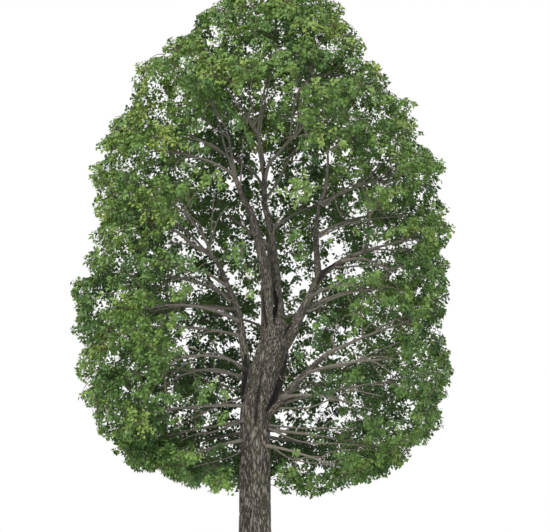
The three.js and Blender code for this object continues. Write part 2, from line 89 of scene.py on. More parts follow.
# Masses of leaves: name, limb, height where the stem leaves it (None at the tip), bearing in degrees,
# how far out it runs, its rise and its arch
massRows = [
    ("low_left_front", "trunk", 4.9, 215, 3.6, -0.85, 0.15),
    ("low_left", "trunk", 5.52, 176, 3.75, -0.75, 0.1),
    ("low_right_front", "trunk", 4.7, 314, 3.6, -0.55, 0.1),
    ("low_right", "trunk", 5.25, 358, 4.2, -0.6, 0.06),
    ("low_back_right", "trunk", 5, 48, 3.6, -0.6, 0.1),
    ("low_back", "trunk", 4.7, 95, 3.4, -0.45, 0.1),
    ("low_back_left", "trunk", 5.15, 136, 3.5, -0.65, 0.1),
    ("lower_left_front", "trunk", 6, 203, 4.2, -0.25, 0.15),
    ("side_left_back", "bough_left", 7, 158, 4.3, -0.15, 0.3),
    ("side_left_front", "bough_left", 7.24, 230, 4.2, 0.15, 0.45),
    ("back_left", "trunk", 6.3, 120, 4.2, 0.5, 0.1),
    ("back_middle", "bough_back", 7, 84, 3, -0.1, 0.1),
    ("back_right", "trunk", 6.2, 38, 4.4, 0.7, 0.1),
    ("side_right", "bough_right", 6.05, 10, 4.1, 0.8, 0.1),
    ("side_right_front", "bough_right", 7.15, 324, 3.4, 0.5, 0.1),
    ("front_right", "bough_right", 6.3, 303, 3.7, -0.05, 0.15),
    ("middle_left", "bough_left", 8.4, 187, 4, 0.2, 0.2),
    ("middle_left_front", "bough_left", 8.9, 222, 4.2, 0.45, 0.3),
    ("middle_left_back", "bough_left", 9.65, 163, 3.7, 0.8, 0.3),
    ("back_left_middle", "bough_left", 9.3, 138, 4.1, -0.2, 0.2),
    ("middle_right", "leader_right", 9.25, 22, 3.5, 0.7, 0.3),
    ("bough_right_tip", "bough_right", None, 348, 1.1, 0.35, 0),
    ("bough_back_tip", "bough_back", None, 95, 1.05, 0.9, 0),
    ("middle_back_right", "bough_back", 8.8, 40, 3.3, 0.5, 0.15),
    ("middle_back_left", "bough_back", 8.5, 132, 2.9, 0.6, 0.15),
    ("front_left_middle", "bough_left", 10.1, 248, 3.8, 0.5, 0.2),
    ("front_right_middle", "leader_right", 9.7, 292, 4.2, 0.4, 0.2),
    ("right_front_upper", "fork_right_outer", 10.95, 305, 2.7, -0.3, 0.2),
    ("fork_right_tip", "fork_right_outer", None, 350, 1.25, 0.35, 0),
    ("right_back_upper", "fork_right_upper", 11.8, 30, 3.2, 0.7, 0.25),
    ("right_upper", "fork_right_upper", 12.9, 350, 2.7, 1, 0.1),
    ("fork_upper_tip", "fork_right_upper", None, 20, 1.3, 0.5, 0.06),
    ("front_right_upper", "fork_right_outer", 11.25, 277, 3, 1.5, 0.1),
    ("back_right_upper", "leader_middle", 12, 58, 3.7, 0.9, 0.2),
    ("back_left_upper", "leader_middle", 11.4, 126, 4, 1.3, 0.2),
    ("bough_left_tip", "bough_left", None, 200, 1.2, 0.4, 0),
    ("left_back_upper", "bough_left", 11.25, 142, 2.8, 1.6, 0.2),
    ("left_front_upper", "bough_left", 11.1, 250, 2.7, 1.5, 0.2),
    ("high_left_front", "leader_left", 13.85, 202, 2.8, 0.8, 0.2),
    ("high_left_back", "leader_left", 14.4, 145, 2.9, 1, 0.2),
    ("leader_left_tip", "leader_left", None, 245, 1.3, 1.3, 0),
    ("high_back_left", "leader_middle", 13.4, 118, 3, 1.4, 0.15),
    ("high_back_right", "leader_middle", 13, 64, 3.2, 2.1, 0.15),
    ("fork_top_right_tip", "fork_top_right", None, 8, 1.5, 1.5, 0.1),
    ("high_front_right", "fork_top_right", 14.9, 288, 3.2, 0.9, 0.1),
    ("fork_top_left_tip", "fork_top_left", None, 150, 0.9, 0.9, 0),
    ("top_right", "fork_top_right", 15.25, 325, 0.9, 3, 0),
    ("top", "fork_top_left", 15.3, 310, 1.15, 4.3, 0),
]

# Thin side branches, seen from the front as (across, height)
sideBranches = [
    ("left_1", [(-0.92, 9.62), (-1.26, 10), (-1.7, 10.3), (-2.42, 10.4), (-3.26, 10.06)]),
    ("left_2", [(-0.65, 8.91), (-1.12, 9.28), (-2.21, 9.45), (-3.5, 9.25)]),
    ("left_3", [(-0.48, 8.36), (-0.99, 8.53), (-1.54, 8.55), (-2.44, 8.31)]),
    ("left_3_fork", [(-1.12, 8.53), (-1.54, 8.07)]),
    ("left_4", [(-0.37, 7.21), (-0.92, 7.65), (-1.51, 7.83), (-2.28, 7.51), (-2.88, 7.06)]),
    ("left_5", [(-0.37, 6.94), (-1.33, 7.29), (-2.35, 7.11), (-3.3, 6.63)]),
    ("left_5_fork", [(-2.21, 7.14), (-2.62, 7.04), (-2.89, 6.77)]),
    ("left_6", [(-0.37, 6.32), (-1.36, 5.98), (-2.04, 5.64), (-2.71, 5.31)]),
    ("left_6_fork", [(-1.7, 5.85), (-2.21, 5.95), (-2.76, 5.93)]),
    ("left_7", [(-0.37, 5.51), (-1.45, 5.14), (-2.01, 5.07), (-2.53, 4.86)]),
    ("left_8", [(-0.1, 4.93), (-0.37, 4.62), (-0.8, 4.31), (-2.11, 3.96)]),
    ("right_1", [(2.41, 12.85), (2.89, 13.29), (3.42, 13.56), (4.18, 13.63), (4.96, 13.7)]),
    ("right_1_fork", [(3.64, 13.63), (4.05, 13.97), (4.39, 14.37)]),
    ("right_1_twig", [(3.98, 13.63), (4.32, 13.84), (4.62, 14.11)]),
    ("right_2", [(2.24, 11.8), (2.96, 12.14), (3.72, 12.34), (5.05, 12.47)]),
    ("right_2_fork", [(3.77, 12.34), (4.25, 12.07)]),
    ("right_3", [(2.82, 10.74), (3.57, 10.78), (4.25, 10.78), (4.82, 10.57)]),
    ("right_4", [(1.9, 9.25), (2.55, 9.62), (3.37, 9.89), (4.71, 10.07)]),
    ("right_5", [(1.67, 7.11), (2.38, 7.31), (3.13, 7.44), (3.98, 7.85), (4.9, 8.21)]),
    ("right_5_fork", [(3.3, 7.51), (4.08, 7.72), (4.86, 7.62)]),
    ("right_5_twig", [(3.77, 7.48), (4.32, 7.38), (4.79, 6.95)]),
    ("right_6", [(0.6, 5.87), (0.99, 5.95), (1.86, 5.98), (2.82, 6.39), (3.71, 6.77), (4.41, 6.74)]),
    ("right_6_fork", [(3.3, 6.6), (3.77, 6.49), (4.28, 6.38)]),
    ("right_6_twig", [(2.55, 6.29), (3.3, 6.15), (3.94, 5.9)]),
    ("right_7", [(0.44, 5.37), (1.26, 5.3), (2.17, 5.29), (2.58, 5.56)]),
    ("right_7_fork", [(2.07, 5.29), (2.75, 5.27), (3.43, 5.28)]),
    ("right_8", [(0.44, 5.27), (1.19, 4.93), (1.87, 4.78), (2.89, 4.76), (3.9, 4.66)]),
    ("right_9", [(0.44, 4.73), (0.99, 4.35), (1.52, 4.16), (2.67, 4.03)]),
    ("right_9_fork", [(1.39, 4.22), (1.94, 4.32), (2.41, 4.25)]),
    ("left_bough_up", [(-1.5, 11.25), (-1.7, 11.73), (-1.89, 12.22), (-2.28, 12.55), (-2.51, 12.89)]),
    ("left_bough_spike", [(-1.53, 11.32), (-1.46, 12.27), (-1.37, 13.33)]),
    ("left_bough_twig", [(-1.5, 11.56), (-1.45, 11.8), (-1.22, 12.41), (-0.89, 12.82)]),
    ("left_bough_end", [(-1.87, 11.39), (-2.41, 11.53), (-3.05, 11.52)]),
    ("left_leader_up", [(-0.68, 13.84), (-0.99, 14.72), (-1.19, 15.54), (-1.46, 16.25)]),
    ("left_leader_side", [(-0.82, 14.38), (-1.46, 14.89), (-2.21, 15.08)]),
    ("left_leader_low", [(-0.65, 13.77), (-1.16, 14.15), (-1.63, 14.35), (-2.11, 14.45),
                         (-2.55, 14.35), (-2.75, 13.97), (-2.64, 13.68)]),
    ("left_leader_straight", [(-0.5, 13.5), (-0.44, 14.31), (-0.41, 15.18)]),
    ("left_leader_twig", [(-1.12, 15.3), (-1.46, 15.5), (-1.67, 15.81)]),
    ("middle_tip", [(0.31, 14.18), (0.24, 14.72), (0.1, 15.23), (-0.37, 15.88), (-0.85, 16.64)]),
    ("middle_tip_twig", [(0.14, 15.13), (0.31, 16.25), (0.53, 17.27)]),
    ("middle_tip_fork", [(0.03, 15.37), (-0.1, 16.15), (-0.25, 16.87)]),
    ("middle_tip_side", [(0.2, 15.74), (0.37, 16.22), (0.57, 16.57)]),
    ("middle_right", [(1.19, 15.03), (1.26, 15.81), (1.41, 16.57), (1.7, 17), (2.15, 17.22),
                      (3.02, 17.27)]),
    ("middle_right_twig", [(2.01, 17.14), (1.87, 17.37), (1.86, 17.57)]),
    ("middle_right_end", [(2.35, 17.24), (2.62, 17.37), (2.88, 17.61)]),
    ("middle_stub", [(0.61, 11.66), (0.68, 12.17), (0.97, 12.58)]),
    ("right_fork_stub", [(2.11, 11.19), (1.97, 11.8), (1.77, 12.37)]),
    ("right_outer_end", [(4.08, 11.39), (4.79, 11.56), (5.53, 11.7)]),
    ("right_outer_fork", [(3.98, 11.36), (4.59, 11.32), (5.23, 11.31)]),
    ("right_bough_stub", [(2.58, 8.33), (2.69, 8.5), (2.8, 8.71)]),
    ("right_bough_up", [(3.64, 8.53), (3.91, 8.81), (4.21, 9.04)]),
    ("right_bough_end", [(4.18, 8.67), (4.66, 8.91), (5.06, 9.08)]),
]
# What each side branch grows from, and how far it comes forward by its end
branchSeats = {
    "left_1": "bough_left", "left_2": "bough_left", "left_3": "bough_left", "left_4": "bough_left",
    "left_5": "bough_left", "left_6": "trunk", "left_7": "trunk", "left_8": "trunk",
    "right_1": "fork_right_upper", "right_2": "fork_right_upper", "right_3": "fork_right_outer",
    "right_4": "leader_right", "right_5": "bough_right", "right_6": "bough_right",
    "right_7": "trunk", "right_8": "trunk", "right_9": "trunk",
    "left_bough": "bough_left", "left_leader": "leader_left", "middle": "leader_middle",
    "right_fork": "fork_right_upper", "right_outer": "fork_right_outer",
    "right_bough": "bough_right", "middle_right": "fork_top_right",
}
# the share of the folds' painted shade that the branches take is set here too
branchLook = dict(foot=0.042, tip=0.018, forward=0.32, forwardBend=0.9, forkThin=0.8, leafFrom=0.45,
                  rings=22, sides=8, taper=0.8, leastFoot=0.016, footPerMetre=0.02, wobble=0.06,
                  collar=0.6, swellShare=1.4, swellMore=0.05, forkSwell=0.1, seatGap=0.06,
                  overlap=0.06, paintedShadeShare=0.8)

# Crown outline seen from the front: (height, across)
crownLeft = [(2.82, 0.3), (3.16, -0.92), (3.28, -2.35), (3.57, -2.94), (3.71, -3.18), (3.74, -3.84),
             (4.01, -4.28), (4.56, -4.76), (4.66, -4.49), (5.03, -5.21), (5.38, -5.51),
             (5.83, -5.39), (6.36, -6.08), (6.63, -5.39), (6.81, -5.78), (7.41, -6.06),
             (8.02, -5.75), (8.64, -6.19), (9.08, -5.9), (9.66, -6.11), (10.28, -6.26),
             (10.51, -5.41), (10.91, -5.87), (11.39, -5.36), (11.9, -5.58), (12.1, -5.12),
             (12.78, -5.64), (13.17, -5.24), (14.1, -5.75), (14.45, -4.94), (14.79, -5.36),
             (15.32, -4.86), (15.74, -4.79), (15.88, -4.49), (16.57, -4.05), (17.32, -4.07),
             (17.71, -3.99), (17.78, -3.4), (17.88, -3.48), (17.95, -2.72), (18.09, -3.03),
             (18.51, -2.82), (18.67, -2.11), (19.11, -1.99), (19.45, -1.67),
             (19.9, -0.95), (20.2, -0.75), (20.6, -0.3), (20.95, 0.35), (21.0, 0.6)]
crownRight = [(2.7, 0.9), (2.82, 1.53), (3.03, 2.52), (3.26, 3.13), (3.47, 3.9), (3.6, 4.32),
              (3.98, 4.96), (4.42, 5.27), (4.62, 5.03), (4.73, 5.75), (5.17, 5.98), (5.3, 6.29),
              (5.68, 6.48), (6.05, 6.05), (6.31, 6.48), (6.53, 6.41), (7.17, 6.72),
              (7.65, 6.59), (8.36, 6.32), (8.57, 6.14), (9.45, 6.48), (10.27, 6.48),
              (10.47, 6.32), (10.85, 6.63), (11.16, 6.14), (11.76, 6.62), (12.21, 6.73),
              (12.44, 6.17), (12.61, 6.62), (13.2, 6.09), (13.46, 6.38), (13.84, 6.11),
              (14.01, 6.46), (14.37, 6.29), (15.06, 5.33), (15.3, 5.81), (16.01, 5.12),
              (16.26, 5.58), (16.54, 4.86), (16.83, 4.32), (17.05, 4.47), (17.61, 4.13),
              (17.92, 3.42), (18.05, 3.79), (18.56, 3.45), (18.99, 3.2), (19.24, 2.71),
              (19.35, 3.19), (19.75, 2.75), (20.1, 2.6), (20.35, 2.05), (20.7, 1.75),
              (20.95, 1.05), (21.0, 0.8)]
# Depths are shares of the width; the lobes come from sines round the crown (Turn) and up it (Rise)
crownLook = dict(middle=0.3, depth=0.97, frontDepth=0.9, brow=0.22, browFrom=16.3, edge=0.07,
                 widen=0.17, front=5.68, lowest=2.82, highest=20.98, blur=1.3, blurSteps=9,
                 lobeShift=0.9, shiftWaves=3, shiftTurn=1.3, lobeDepth=0.5, lobeTurn=4.5,
                 lobeRise=0.8, crossTurn=2, crossRise=1.9)


def curveAt(path, shares):
    # points and directions on a smooth line through the path's points
    points = np.array(path, float)
    points = np.vstack([2 * points[0] - points[1], points, 2 * points[-1] - points[-2]])
    spans = len(path) - 1
    place = np.clip(np.asarray(shares, float), 0, 1) * spans
    first = np.minimum(place.astype(int), spans - 1)
    t = (place - first)[:, None]
    a, b, c, d = points[first], points[first + 1], points[first + 2], points[first + 3]
    bend = 2 * a - 5 * b + 4 * c - d
    twist = 3 * b - a - 3 * c + d
    where = 0.5 * (2 * b + (c - a) * t + bend * t**2 + twist * t**3)
    along = 0.5 * ((c - a) + 2 * bend * t + 3 * twist * t**2)
    return where, along / np.linalg.norm(along, axis=1)[:, None]


def limbRadius(limb, shares):
    foot, tip = limb["radii"]
    radius = tip + (foot - tip) * (1 - shares) ** limb["taper"]
    dome = limb.get("dome", 1.0)
    over = np.clip((shares - dome) / max(1 - dome, 1e-6), 0, 1)
    return radius * np.sqrt(1 - 0.8 * over**2)  # rounded off past the dome's share


def lengthsAlong(points):
    return np.concatenate([[0], np.cumsum(np.linalg.norm(np.diff(points, axis=0), axis=1))])


def unit(vectors):
    return vectors / np.maximum(np.linalg.norm(vectors, axis=-1, keepdims=True), 1e-9)


def squareTo(along, guide):
    # two directions square to each line
    level = unit(np.cross(guide, along))
    return level, np.cross(along, level)


def hashShare(first, second):
    # a number from 0 to 1 that follows from two others
    wave = math.sin(first * 12.9898 + second * 78.233) * 43758.5453
    return wave - math.floor(wave)


def outlineAt(heights, rows):
    ordered = np.array(sorted(rows))
    return np.interp(heights, ordered[:, 0], ordered[:, 1])


def roughOutline(heights, rows):
    offsets = np.linspace(-crownLook["blur"], crownLook["blur"], crownLook["blurSteps"])
    return np.mean([outlineAt(heights + offset, rows) for offset in offsets], axis=0)


def crownRoom(points):
    # how far each point is inside the crown's lobed outline, in metres
    x, z = points[..., 0], points[..., 2]
    brow = crownLook["brow"] * np.clip(z - crownLook["browFrom"], 0, 1)
    deep = np.where(points[..., 1] < 0, crownLook["frontDepth"] + brow, crownLook["depth"])
    y = points[..., 1] / deep
    middle = (roughOutline(z, crownLeft) + roughOutline(z, crownRight)) / 2
    across = x - middle
    turn = np.arctan2(y, across)
    side = np.sin(turn) ** 2
    shift = np.sin(crownLook["shiftWaves"] * turn + crownLook["shiftTurn"])
    shifted = z + crownLook["lobeShift"] * side * shift
    right = outlineAt(shifted, crownRight) - middle
    left = middle - outlineAt(shifted, crownLeft)
    blend = 0.5 + 0.5 * np.cos(turn)
    blend = blend * blend * (3 - 2 * blend)
    lobes = np.sin(crownLook["lobeTurn"] * turn + crownLook["lobeRise"] * z)
    lobes = 1 - np.abs(lobes * np.sin(crownLook["crossRise"] * z + crownLook["crossTurn"] * turn))
    reach = left + (right - left) * blend - crownLook["lobeDepth"] * side * lobes**2
    inside = (z > crownLook["lowest"]) & (z < crownLook["highest"])
    room = reach - np.hypot(across, y)
    room = np.minimum(room, x - outlineAt(z, crownLeft))
    room = np.minimum(room, outlineAt(z, crownRight) - x)
    room = np.minimum(room, points[..., 1] + crownLook["front"])
    return np.where(inside, room + crownLook["widen"], -1.0)


barkApart = 3.7  # metres between the bark patterns of two neighbouring tubes


def tubeRings(centres, radii, sides):
    # rings of points round many lines at once, with bark coordinates
    along = unit(np.gradient(centres, axis=1))
    run = unit(centres[:, -1] - centres[:, 0])
    level = np.abs(run[:, 0]) > 0.8  # runs along X, so it takes Y as its guide
    guide = np.where(level[:, None], np.array([0, 1.0, 0]), np.array([1.0, 0, 0]))
    across, aside = squareTo(along, guide[:, None, :])
    turns = np.arange(sides) * 2 * math.pi / sides
    ring = across[:, :, None, :] * np.cos(turns)[:, None]
    ring = ring + aside[:, :, None, :] * np.sin(turns)[:, None]
    points = centres[:, :, None, :] + radii[:, :, None, None] * ring
    steps = np.linalg.norm(np.diff(centres, axis=1), axis=2)
    length = np.concatenate([np.zeros((len(centres), 1)), np.cumsum(steps, axis=1)], axis=1)
    bark = np.empty_like(points)
    bark[..., 0] = radii[:, :, None] * np.cos(turns)
    bark[..., 1] = radii[:, :, None] * np.sin(turns)
    bark[..., 2] = length[:, :, None] + np.arange(len(centres))[:, None, None] * barkApart
    return points, bark


def tubeFaces(count, rings, sides):
    base = np.arange(count)[:, None, None] * rings * sides
    ring = np.arange(rings - 1)[None, :, None] * sides
    step = np.arange(sides)[None, None, :]
    after = (step + 1) % sides
    here = base + ring
    quads = np.stack([here + step, here + after, here + sides + after, here + sides + step], axis=-1)
    return quads.reshape(-1, 4)


def addObject(name, data):
    made = bpy.data.objects.new(name, data)
    bpy.context.scene.collection.objects.link(made)
    return made


def meshFrom(name, points, faces, materials, slots=None, smooth=True):
    mesh = bpy.data.meshes.new(name)
    corners = faces.shape[1]
    mesh.vertices.add(len(points))
    mesh.vertices.foreach_set("co", np.ascontiguousarray(points, np.float32).ravel())
    mesh.loops.add(faces.size)
    mesh.loops.foreach_set("vertex_index", np.ascontiguousarray(faces, np.int32).ravel())
    mesh.polygons.add(len(faces))
    mesh.polygons.foreach_set("loop_start", np.arange(0, faces.size, corners, dtype=np.int32))
    for material in materials:
        mesh.materials.append(material)
    if slots is not None:
        mesh.polygons.foreach_set("material_index", np.ascontiguousarray(slots, np.int32))
    mesh.polygons.foreach_set("use_smooth", np.full(len(faces), smooth))
    mesh.update(calc_edges=True)
    return addObject(name, mesh)


def setAttribute(piece, name, values):
    vector = values.ndim == 2
    kind = "FLOAT_VECTOR" if vector else "FLOAT"
    made = piece.data.attributes.new(name, kind, "POINT")
    made.data.foreach_set("vector" if vector else "value", values.astype(np.float32).ravel())


class Signal:
    # a socket of a material's node tree; arithmetic on it adds Math nodes
    def __init__(self, tree, socket):
        self.tree = tree
        self.socket = socket

    def math(self, operation, first, second):
        return addNode(self.tree, "ShaderNodeMath", {"operation": operation}, {0: first, 1: second})

    def __add__(self, other):
        return self.math("ADD", self, other)

    def __sub__(self, other):
        return self.math("SUBTRACT", self, other)

    def __rsub__(self, other):
        return self.math("SUBTRACT", other, self)

    def __mul__(self, other):
        return self.math("MULTIPLY", self, other)

    def __abs__(self):
        return self.math("ABSOLUTE", self, 0.0)

    def least(self, other):
        return self.math("MINIMUM", self, other)

    __radd__ = __add__
    __rmul__ = __mul__


def addNode(tree, kind, settings=None, values=None, output=0):
    made = tree.nodes.new(kind)
    for key, value in (settings or {}).items():
        if key == "stops":
            stops = made.color_ramp.elements
            stops[0].position, stops[0].color = value[0][0], (*value[0][1], 1)
            stops[1].position, stops[1].color = value[-1][0], (*value[-1][1], 1)
            for place, colour in value[1:-1]:
                stops.new(place).color = (*colour, 1)
        else:
            setattr(made, key, value)
    for key, value in (values or {}).items():
        if isinstance(value, Signal):
            tree.links.new(value.socket, made.inputs[key])
        else:
            made.inputs[key].default_value = value
    return Signal(tree, made.outputs[output]) if made.outputs else None


def mixColour(factor, first, second, blend="MIX"):
    tree = factor.tree if isinstance(factor, Signal) else first.tree
    settings = {"data_type": "RGBA", "blend_type": blend}
    return addNode(tree, "ShaderNodeMix", settings, {0: factor, 6: first, 7: second}, 2)


def newMaterial(name):
    material = bpy.data.materials.new(name)
    material.use_nodes = True
    material.node_tree.nodes.clear()
    return material, material.node_tree


def finishMaterial(tree, values):
    shader = addNode(tree, "ShaderNodeBsdfPrincipled", None, values)
    addNode(tree, "ShaderNodeOutputMaterial", None, {"Surface": shader})


# the near black fold colour and its share are painted shade in the folds at the forks and in the
# trunk's seam
barkLook = dict(
    ridge=(0.265, 0.236, 0.196), pale=(0.43, 0.402, 0.352), deep=(0.125, 0.106, 0.085),
    furrow=(0.032, 0.025, 0.019), moss=(0.13, 0.145, 0.07), mossShare=0.4,
    fold=(0.012, 0.010, 0.008), paintedShadeShare=0.94, crackShare=0.7, bump=0.03, bumpShare=0.85,
    cellWide=0.19, cellLeast=0.062, cellMost=0.2, cellLong=5.0, lean=0.13, furrowWide=0.2,
    leftWeight=2.0, rightWeight=2.6, fibreSize=58.0, plateSize=24.0, patchSize=1.6,
)


def furrowLines(tree, detail):
    # 0 in the furrows and 1 on the ridges; two sets of furrows lean both ways, cross and join
    lines = []
    for side, weight in (("lean_left", "leftWeight"), ("lean_right", "rightWeight")):
        if tree.type == "SHADER":
            place = addNode(tree, "ShaderNodeAttribute", {"attribute_name": side}, None, 1)
        else:
            place = addNode(tree, "GeometryNodeInputNamedAttribute", {"data_type": "FLOAT_VECTOR"},
                            {"Name": side})
        wave = addNode(tree, "ShaderNodeTexNoise", None,
                       {"Vector": place, "Scale": 1.0, "Detail": detail, "Roughness": 0.5})
        lines.append(abs(wave - 0.5) * (barkLook[weight] / barkLook["furrowWide"]))
    return lines[0].least(lines[1]).least(1.0)


def barkMaterial(name, relief):
    material, tree = newMaterial(name)
    space = addNode(tree, "ShaderNodeAttribute", {"attribute_name": "bark"}, None, 1)
    fold = addNode(tree, "ShaderNodeAttribute", {"attribute_name": "fold"}, None, 2)
    furrow = furrowLines(tree, 2.5)
    stretched = addNode(tree, "ShaderNodeMapping", None, {"Vector": space, "Scale": (1, 1, 0.13)})
    fibres = addNode(tree, "ShaderNodeTexNoise", None,
                     {"Vector": stretched, "Scale": barkLook["fibreSize"], "Detail": 5.0,
                      "Roughness": 0.65})
    flat = addNode(tree, "ShaderNodeMapping", None, {"Vector": space, "Scale": (1, 1, 0.45)})
    plates = addNode(tree, "ShaderNodeTexNoise", None,
                     {"Vector": flat, "Scale": barkLook["plateSize"], "Detail": 6.0,
                      "Roughness": 0.72, "Distortion": 0.6})
    patches = addNode(tree, "ShaderNodeTexNoise", None,
                      {"Vector": space, "Scale": barkLook["patchSize"], "Detail": 3.0})
    crackTone = addNode(tree, "ShaderNodeValToRGB", {"stops": [
        (0.30, (0.35, 0.33, 0.30)), (0.44, (0.9, 0.89, 0.87)), (0.7, (1, 1, 1))]}, {"Fac": fibres})
    height = (furrow - 1.0) * (0.62 * relief) + plates * 0.6 + fibres * 0.32 + 0.17
    tone = addNode(tree, "ShaderNodeValToRGB", {"stops": [
        (0.08, barkLook["furrow"]), (0.3, barkLook["deep"]), (0.58, barkLook["ridge"]),
        (0.86, barkLook["pale"])]}, {"Fac": height})
    cracked = mixColour(barkLook["crackShare"], tone, crackTone, "MULTIPLY")
    mossMask = addNode(tree, "ShaderNodeValToRGB", {"stops": [(0.5, (0, 0, 0)), (0.72, (1, 1, 1))]},
                       {"Fac": patches})
    mossed = mixColour(mossMask * barkLook["mossShare"], cracked, (*barkLook["moss"], 1))
    # painted shade: the bark goes near black in the folds at the forks and in the trunk's seam
    shaded = mixColour(fold * barkLook["paintedShadeShare"], mossed, (*barkLook["fold"], 1))
    bump = addNode(tree, "ShaderNodeBump", None,
                   {"Strength": barkLook["bumpShare"], "Distance": barkLook["bump"] * relief,
                    "Height": furrow * 0.9 + plates * 0.7 + fibres * 0.6})
    finishMaterial(tree, {"Base Color": shaded, "Roughness": 0.82 + plates * 0.14, "Normal": bump})
    return material


def leafMaterial(name, colour, roughness):
    material, tree = newMaterial(name)
    finishMaterial(tree, {"Base Color": (*colour, 1), "Roughness": roughness,
                          "Specular IOR Level": 0.4})
    return material


def grainMaterial(name, dark, colour, roughness, size, detail):
    # a colour that shifts softly over the surface
    material, tree = newMaterial(name)
    place = addNode(tree, "ShaderNodeTexCoord", None, None, 3)
    grain = addNode(tree, "ShaderNodeTexNoise", None,
                    {"Vector": place, "Scale": size, "Detail": detail})
    tone = mixColour(grain, (*dark, 1), (*colour, 1))
    finishMaterial(tree, {"Base Color": tone, "Roughness": roughness})
    return material


oldBark = barkMaterial("furrowed_bark", 1.0)
branchBark = barkMaterial("branch_bark", 0.35)
twigBark = grainMaterial("twig_bark", (0.085, 0.068, 0.046), (0.165, 0.142, 0.095), 0.7, 9.0, 2.0)
# greens from deep to bright; the one a spray takes is painted light and shade by its place in the
# crown, with a random spread
leafColours = [
    (0.042, 0.095, 0.021), (0.060, 0.128, 0.026), (0.084, 0.165, 0.032), (0.112, 0.202, 0.038),
    (0.146, 0.242, 0.046), (0.190, 0.280, 0.056), (0.245, 0.318, 0.064),
]
leafMaterials = [leafMaterial(f"leaf_green_{n + 1}", colour, 0.46 + 0.02 * n)
                 for n, colour in enumerate(leafColours)]
print("materials made")

barkShape = dict(voxel=0.028, smoothing=3, thinnest=0.068, ringStep=0.05, sides=28, below=0.15,
                 depth=0.085, leastDepth=0.004, mostDepth=0.04, level=0.7, foldDepth=0.05,
                 foldEdge=0.04, swellRings=24, swellSides=16, swellEnd=0.3, limbApart=5.3)

# Folds in the bark and at the forks, sunk as a shallow groove and painted near black as shade on their
# front side: points across and up with half widths, from the front
foldsWithPaintedShade = [
    [(-0.32, 7.72, 0.06), (-0.33, 7.35, 0.14), (-0.39, 6.8, 0.10), (-0.47, 6.15, 0.02)],
    [(0.228, 7.28, 0.012), (0.15, 6.7, 0.035), (0.07, 6.1, 0.052), (0.034, 5.75, 0.055),
     (0.014, 5.37, 0.03)],
    [(1.12, 7.85, 0.02), (0.99, 7.3, 0.08), (0.84, 6.75, 0.12), (0.66, 6.3, 0.09), (0.43, 5.88, 0.02)],
    [(0.24, 9.93, 0.02), (0.29, 9.28, 0.05), (0.35, 9.0, 0.05), (0.39, 8.68, 0.015)],
    [(0.646, 9.93, 0.02), (0.73, 9.6, 0.07), (0.68, 9.2, 0.045), (0.64, 8.7, 0.015)],
    [(1.22, 8.84, 0.04), (1.0, 8.43, 0.015)],
    [(2.14, 10.15, 0.03), (2.25, 10.45, 0.09), (2.41, 10.71, 0.11), (2.68, 10.82, 0.04)],
    [(1.9, 12.0, 0.03), (2.0, 11.6, 0.05), (2.11, 11.22, 0.02)],
    [(0.31, 14.05, 0.03), (0.38, 14.45, 0.08), (0.61, 14.69, 0.05), (0.8, 14.86, 0.02)],
]

# Swellings where boughs leave the trunk: points with a radius each
forkSwells = [
    [(-0.31, -0.05, 5.6, 0.12), (-0.35, -0.06, 6.3, 0.145), (-0.35, -0.08, 6.9, 0.135),
     (-0.31, -0.11, 7.45, 0.12)],
    [(0.42, -0.03, 5.75, 0.14), (0.70, -0.04, 6.35, 0.14), (0.86, -0.03, 6.85, 0.13),
     (0.98, 0.0, 7.4, 0.12), (1.04, 0.05, 7.95, 0.12)],
    [(0.3, -0.1, 8.1, 0.13), (0.27, -0.1, 8.6, 0.11), (0.31, -0.08, 9.0, 0.05)],
    [(0.84, 0.04, 8.36, 0.13), (1.08, 0.09, 8.58, 0.14), (1.34, 0.15, 8.84, 0.13)],
]
# the same as axes that the bark runs along
swellAxes = [dict(path=[row[:3] for row in rows], radii=(rows[0][3], rows[-1][3]), taper=1,
                  skinEnd=1.0, heft=2.2) for rows in forkSwells]


def flareAt(heights, turns):
    fall = np.exp(-np.maximum(heights, 0) / rootFlare["height"])
    ribs = np.cos(rootFlare["ribs"] * turns + rootFlare["turn"])
    return rootFlare["reach"] * fall * (1 + rootFlare["ribDepth"] * fall * ribs)


def limbFrame(limb, shares):
    # points on a limb's axis with the directions across, aside and along it
    where, along = curveAt(limb["path"], shares)
    across = unit(np.cross(np.array([1.0, 0, 0]), along))
    return where, across, unit(np.cross(along, across)), along


def closedFaces(rings, sides):
    faces = [tuple(face) for face in tubeFaces(1, rings, sides)]
    faces.append(tuple(range(sides))[::-1])
    faces.append(tuple((rings - 1) * sides + n for n in range(sides)))
    return faces


def limbTube(name, limb):
    # a closed tube along a limb as far as it is thick enough for the skin
    shares = np.linspace(0, 1, 400)
    thick = shares[limbRadius(limb, shares) >= barkShape["thinnest"]]
    end = thick.max() if len(thick) else 0
    limb["skinEnd"] = end
    if end < 0.05:
        return None
    where, _ = curveAt(limb["path"], shares)
    length = np.linalg.norm(np.diff(where, axis=0), axis=1).sum()
    rings = int(length * end / barkShape["ringStep"]) + 4
    sides = limb.get("sides", barkShape["sides"])
    shares = np.linspace(0, end, rings)
    where, across, aside = limbFrame(limb, shares)[:3]
    turns = np.arange(sides) * 2 * math.pi / sides
    radius = limbRadius(limb, shares)[:, None] + np.zeros(sides)
    if name == "trunk":
        where[0, 2] = -barkShape["below"]
        radius = radius + flareAt(where[:, 2:3], turns[None, :])
    ring = across[:, None, :] * np.cos(turns)[:, None] - aside[:, None, :] * np.sin(turns)[:, None]
    points = (where[:, None, :] + ring * radius[:, :, None]).reshape(-1, 3)
    return points, closedFaces(rings, sides)


def swellTube(rows):
    rows = np.array(rows)
    rings, sides = barkShape["swellRings"], barkShape["swellSides"]
    shares = np.linspace(0, 1, rings)
    centres, _ = curveAt(rows[:, :3], shares)
    radii = np.interp(shares, np.linspace(0, 1, len(rows)), rows[:, 3])
    radii[[0, -1]] *= barkShape["swellEnd"]
    points, _ = tubeRings(centres[None], radii[None], sides)
    return points.reshape(-1, 3), closedFaces(rings, sides)


